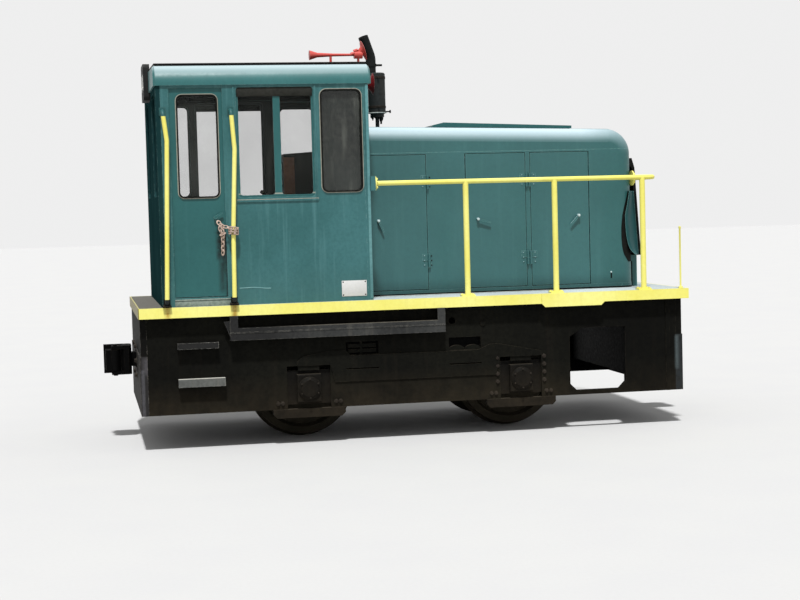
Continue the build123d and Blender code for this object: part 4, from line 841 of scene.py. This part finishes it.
# Painted sides on the radiator guard behind its black front rim
bm = bmesh.new()
for turn in hoodSides:
    shape = bmesh.new()
    outline = [at(hoodEnd["front"] + 1, guard["side"], z) for z in guard["rear"]]
    outline += [at(guardFaceAt(z) - guard["rim"], guard["side"], z) for z in guard["face"]]
    face = shape.faces.new([shape.verts.new(corner) for corner in outline])
    ops.solidify(shape, geom=[face], thickness=guard["thick"])
    join(bm, shape, turn)
finishPiece("guardSides", bm, "hoodPaint")

# Lamps: reflector bowl, lens and bright rim, each point a share of the radius and a height
lampParts = (
    ("Reflectors", "mirrorMetal", "lamp_black", (
        (0, -0.0200), (0.5, -0.0175), (0.85, -0.0120), (0.97, -0.0060), (0.97, -0.0215), (0, -0.0215))),
    ("Lenses", "lampGlass", "window_glass", (
        (0, 0.0010), (0.5, 0.0000), (0.90, -0.0030), (0.90, -0.0055), (0.5, -0.0025), (0, -0.0015))),
    ("Rims", "mirrorMetal", "lamp_black", (
        (0.88, -0.0060), (0.88, -0.0015), (0.93, 0.0005), (0.985, 0.0000), (0.985, -0.0070),
        (0.88, -0.0060))))
lamps = dict(
    rear=dict(x=-2300, ys=(-100, 100), z=3165, radius=0.075, out=outRear),
    front=dict(x=2200, ys=(0,), z=2255, radius=0.083, out=outFront))
for lampName, lamp in lamps.items():
    places = [(at(lamp["x"], y, lamp["z"]), lamp["out"]) for y in lamp["ys"]]
    for part, surface, slotName, shape in lampParts:
        points = [(lamp["radius"] * share, height) for share, height in shape]
        finishTurned("lamp" + part + "_" + lampName, points, places, surface)

# A bell that faces the front and slightly upwards on the roof horn's driver
bell = dict(
    mouth=(-364, -500, 3400), long=0.088, rise=0.30, ribs=5, ribLow=(0.012, -0.002, 0.004),
    ribHigh=(0.034, 0.002, 0.046),
    shape=((0, -0.030), (0.016, -0.028), (0.017, -0.004), (0.012, 0.000), (0.015, 0.026),
        (0.021, 0.050), (0.034, 0.070), (0.058, 0.082), (0.086, 0.088), (0.088, 0.090), (0.084, 0.092),
        (0.056, 0.086), (0.032, 0.074), (0.018, 0.052), (0.012, 0.028), (0, 0.024)))
bellAxis = Vector((math.cos(bell["rise"]), 0, math.sin(bell["rise"])))
bellPlace = at(*bell["mouth"]) - bellAxis * bell["long"]
bm = bmesh.new()
addTurned(bm, bell["shape"], bellPlace, bellAxis, 36)
for number in range(bell["ribs"]):
    rib = facing(bellPlace, bellAxis, math.tau * number / bell["ribs"])
    addBlock(bm, Vector(bell["ribLow"]), Vector(bell["ribHigh"]), 0.0008, 1, rib)
finishPiece("hornFrontBell", bm, "hornRed")

# Muffler: bands with a clamp each, a pale line round its lid as a painted highlight, and the foot with its
# bolts
muffler = dict(x=-157, bands=(2925, 3195), lidLine=2872, foot=2836, bolts=5, boltRing=50, boltZ=2834)
bandShape = ((0.0795, -0.011), (0.0835, -0.010), (0.0835, 0.010), (0.0795, 0.011), (0.0795, -0.011))
lidShape = ((0.0800, -0.004), (0.0870, -0.003), (0.0870, 0.003), (0.0800, 0.004), (0.0800, -0.004))
clamp = dict(x=(-166, -148), y=(-101, -80), half=9, edge=0.002)
# Each stub below the muffler: X and Y from its middle, length and radius
stubs = ((33, -12, 66, 15), (-48, -30, 34, 10), (52, 18, 30, 9), (6, -52, 22, 9))
arm = (((-84, -28), (-9, 9), (2878, 2890)), ((-40, -28), (-12, 12), (2870, 2898)))
bm = bmesh.new()
for level in muffler["bands"]:
    addTurned(bm, bandShape, at(muffler["x"], 0, level), upward)
    addBar(bm, asBuilt, clamp["x"], clamp["y"], (level - clamp["half"], level + clamp["half"]), clamp["edge"])
finishPiece("mufflerBands", bm, "boltSteel")
finishTurned("mufflerLidLine", lidShape, [(at(muffler["x"], 0, muffler["lidLine"]), upward)], "paleLine")
bm = bmesh.new()
for dx, dy, long, wide in stubs:
    radius = wide / 1000
    neck = radius * 0.6
    addTurned(bm, ((0, 0.004), (radius, 0.003), (radius, -long / 2000), (neck, -long / 1400),
                   (neck, -long / 1000), (0, -long / 1000)),
              at(muffler["x"] + dx, dy, muffler["foot"]), upward, 12)
for bar in arm:
    addBar(bm, asBuilt, *bar)
finishPiece("mufflerFoot", bm, "pipeBlack")
lidBolts = [facing(at(muffler["x"] + dx, dy, muffler["boltZ"]), downward)
            for _, dx, dy in around(muffler["boltRing"], muffler["bolts"], 0.3)]
stampAll("mufflerBolts", boltTemplate(0.018), lidBolts, "boltSteel")
print("lamps, muffler bands and bent sheet made")

# Feet of the grab rails: a small bracket with two bolts under each
grabFoot = dict(
    rails=(-2204, -1636), wide=36, y=(-1094, -1026), z=(1202, 1216), tabWide=27, tabY=(-1066, -1058),
    tabZ=(1214, 1276), bolt=(-1060, 1216))
bm, footBolts = bmesh.new(), []
for turn in cabSides:
    for x in grabFoot["rails"]:
        wide, tab = grabFoot["wide"], grabFoot["tabWide"]
        addBar(bm, turn, (x - wide, x + wide), grabFoot["y"], grabFoot["z"])
        addBar(bm, turn, (x - tab, x + tab), grabFoot["tabY"], grabFoot["tabZ"])
        footBolts += [turn @ facing(at(x + dx, *grabFoot["bolt"]), upward, dx) for dx in (-tab, tab)]
finishPiece("grabFeet", bm, "frameBlack")
stampAll("grabFootBolts", boltTemplate(0.016), footBolts, "boltSteel")

# A chain wound round the grab rail in front of the door, with a loop that hangs towards the handle
chain = dict(wire=0.0052, ring=0.0150, stretch=1.55, pitch=0.0355)
winding = dict(x=-1626, y=-1085, radius=35, top=1862, fall=1.9, points=31, eachTurn=11)
bm = bmesh.new()
ops.create_circle(bm, cap_ends=False, segments=6, radius=chain["wire"],
                  matrix=shift((chain["ring"], 0, 0))
                  @ Matrix.Rotation(math.radians(90), 4, "X"))
ops.spin(bm, geom=bm.verts[:] + bm.edges[:], cent=(0, 0, 0), axis=(0, 0, 1), angle=math.tau, steps=12,
         use_merge=True)
ops.remove_doubles(bm, verts=bm.verts, dist=mergeReach)
ops.scale(bm, vec=(chain["stretch"], 1, 1), verts=bm.verts)
chainLink = meshOf("linkTemplate", bm)

wound = []
for number in range(winding["points"]):
    angle = math.pi + math.tau * number / winding["eachTurn"]
    dx, dy = winding["radius"] * math.cos(angle), winding["radius"] * math.sin(angle)
    wound.append((winding["x"] + dx, winding["y"] + dy, winding["top"] - number * winding["fall"]))
# Each strand: how far its first link is twisted, and its route
strands = (
    (45, ((-1752, -1040, 1916), (-1738, -1060, 1892), (-1700, -1070, 1868), (-1668, -1080, 1864))),
    (45, wound),
    (0, ((-1722, -1068, 1884), (-1717, -1072, 1800), (-1722, -1076, 1612))),
    (30, ((-1736, -1066, 1872), (-1731, -1074, 1806), (-1712, -1082, 1796), (-1698, -1080, 1846))))


def walk(route, step):
    places = [route[0]]
    left = step
    for start, end in zip(route, route[1:]):
        length = (end - start).length
        done = 0.0
        while length - done >= left:
            done += left
            places.append(start.lerp(end, done / length))
            left = step
        left -= length - done
    return places


bm = bmesh.new()
for firstTwist, route in strands:
    chainPlaces = walk([at(*place) for place in route], chain["pitch"])
    for number, (here, there) in enumerate(zip(chainPlaces, chainPlaces[1:])):
        along = (there - here).to_track_quat("X", "Z").to_matrix().to_4x4()
        twist = Matrix.Rotation(math.radians(firstTwist + 90 * (number % 2)), 4, "X")
        stamp(bm, chainLink, shift((here + there) / 2) @ along @ twist)
finishPiece("doorChain", bm, "rust", angle=60)

# Cab: a brown edge, dials and levers on the control cabinet
cabinetEdges = [((-1084, -985), reach, (1240, 2470)) for reach in ((-308, -299), (299, 308))]
dials = dict(
    x=-1080, ys=(-190, -65, 65, 190), zs=(2390, 2250),
    face=((0, 0.004), (0.036, 0.004), (0.036, 0.0), (0, 0.0)),
    rim=((0.036, 0.0), (0.036, 0.008), (0.041, 0.008), (0.044, 0.0), (0.036, 0.0)))
levers = dict(
    x=-1080, z=2090, leans=((-120, 0.35), (0, 0.15), (120, 0.5)),
    shape=((0, 0), (0.022, 0), (0.020, 0.012), (0.007, 0.016), (0.006, 0.15), (0.014, 0.155),
        (0.019, 0.172), (0.014, 0.190), (0, 0.194)))
finishBars("cabinetEdges", cabinetEdges, "brownTrim")
dialPlaces = [(at(dials["x"], y, z), outRear) for y in dials["ys"] for z in dials["zs"]]
finishTurned("dialFaces", dials["face"], dialPlaces, "dialCream", 20)
finishTurned("dialRims", dials["rim"], dialPlaces, "boltSteel", 20)
finishTurned("controlLevers", levers["shape"], [
    (at(levers["x"], y, levers["z"]), Vector((-1, 0, lean)).normalized()) for y, lean in levers["leans"]],
    "boltSteel", 16)

# The seat: a crowned cushion and back
pads = (dict(middle=(-1310, 470, 1656), size=(0.398, 0.398, 0.080), crownAxis=2, crown=0.004),
        dict(middle=(-1476, 470, 1880), size=(0.056, 0.398, 0.395), crownAxis=0, crown=0.003))
padEdge = 0.55


def addPad(bm, middle, size, crownAxis, crown):
    shape = bmesh.new()
    ops.create_cube(shape, size=1)
    ops.subdivide_edges(shape, edges=shape.edges[:], cuts=9, use_grid_fill=True)
    flat = [axis for axis in range(3) if axis != crownAxis]
    for corner in shape.verts:
        share = [1 - (2 * corner.co[axis]) ** 2 for axis in flat]
        swell = (max(share[0], 0) * max(share[1], 0)) ** 0.5
        side = 1 if corner.co[crownAxis] > 0 else -1
        corner.co = Vector([corner.co[axis] * size[axis] for axis in range(3)])
        corner.co[crownAxis] *= padEdge + (1 - padEdge) * swell ** 0.5
        corner.co[crownAxis] += side * crown * swell
    ops.smooth_vert(shape, verts=shape.verts, factor=0.5, use_axis_x=True, use_axis_y=True,
                    use_axis_z=True)
    join(bm, shape, shift(at(*middle)))


bm = bmesh.new()
for pad in pads:
    addPad(bm, **pad)
seatPad = finishPiece("seatPad", bm, "vinyl", angle=80)
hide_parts("seat_cushion")
print("chain, cab fittings and seat made")

# Camera as fitted to the photograph's straight edges
lens = dict(
    place=(-2.9264, -14.7352, 2.0335), yaw=0.1968, pitch=-0.0583, roll=-0.0268, mm=72.398, film=36,
    farthest=200)
cameraData = bpy.data.cameras.new("camera")
cameraData.lens = lens["mm"]
cameraData.sensor_width = lens["film"]
cameraData.sensor_fit = "HORIZONTAL"
cameraData.clip_end = lens["farthest"]
camera = addObject("camera", cameraData)
turn = Matrix.Rotation(-lens["yaw"], 4, "Z") @ Matrix.Rotation(math.pi / 2 + lens["pitch"], 4, "X")
camera.matrix_world = shift(lens["place"]) @ turn @ Matrix.Rotation(lens["roll"], 4, "Z")
stage.camera = camera

# Light: a hazy bright day with a soft sun from the camera's side
sunLook = dict(side=(-0.11, -0.56, 1.18), strength=3.8, softness=4)
sunData = bpy.data.lights.new("sun", "SUN")
sunData.energy = sunLook["strength"]
sunData.angle = math.radians(sunLook["softness"])
sun = addObject("sun", sunData)
sun.rotation_mode = "QUATERNION"
sun.rotation_quaternion = Vector(sunLook["side"]).to_track_quat("Z", "Y")


# 1 where the camera sees a surface straight, in a mirror or through glass, 0 for the light it gives
def seenShare(tree):
    path = addNode(tree, "LightPath", {}).outputs
    either = maths(tree, "MAXIMUM", path["Is Camera Ray"], path["Is Glossy Ray"])
    return maths(tree, "MAXIMUM", either, path["Is Transmission Ray"])


skyLook = dict(colour=(1, 1, 1, 1), light=0.45, seen=0.86)
world = bpy.data.worlds.new("sky")
stage.world = world
world.use_nodes = True
sky = world.node_tree
sky.nodes.clear()
lit, seen = (addNode(sky, "Background", {"Color": skyLook["colour"], "Strength": skyLook[part]}).outputs[0]
             for part in ("light", "seen"))
picked = addNode(sky, "MixShader", {0: seenShare(sky), 1: lit, 2: seen})
addNode(sky, "OutputWorld", {"Surface": picked.outputs[0]})

# The floor: pale where it is seen, and darker in the light it throws back
floorLook = dict(
    usual, base=(0.57, 0.57, 0.57, 1), faded=(0.58, 0.58, 0.575, 1), dark=(0.54, 0.54, 0.535, 1),
    worn=(0.57, 0.57, 0.57, 1), mottle=0.2, rough=(0.8, 0.95), wear=0.0, grain=0.05, dents=0.0)
floorThrown = (0.42, 0.42, 0.41, 1)
floorReach = 90
floorPaint = weathered("floor", floorLook)
floorTree = floorPaint.node_tree
floorBase = floorTree.nodes["Principled BSDF"].inputs["Base Color"]
floorColour = floorBase.links[0].from_socket
floorTree.links.new(mixColour(floorTree, seenShare(floorTree), floorThrown, floorColour), floorBase)
bm = bmesh.new()
ops.create_grid(bm, x_segments=1, y_segments=1, size=floorReach)
floorMesh = meshOf("floor", bm)
floorMesh.materials.append(floorPaint)
floor = addObject("floor", floorMesh)
stage.view_settings.view_transform = "Standard"
print("camera, light and floor set")
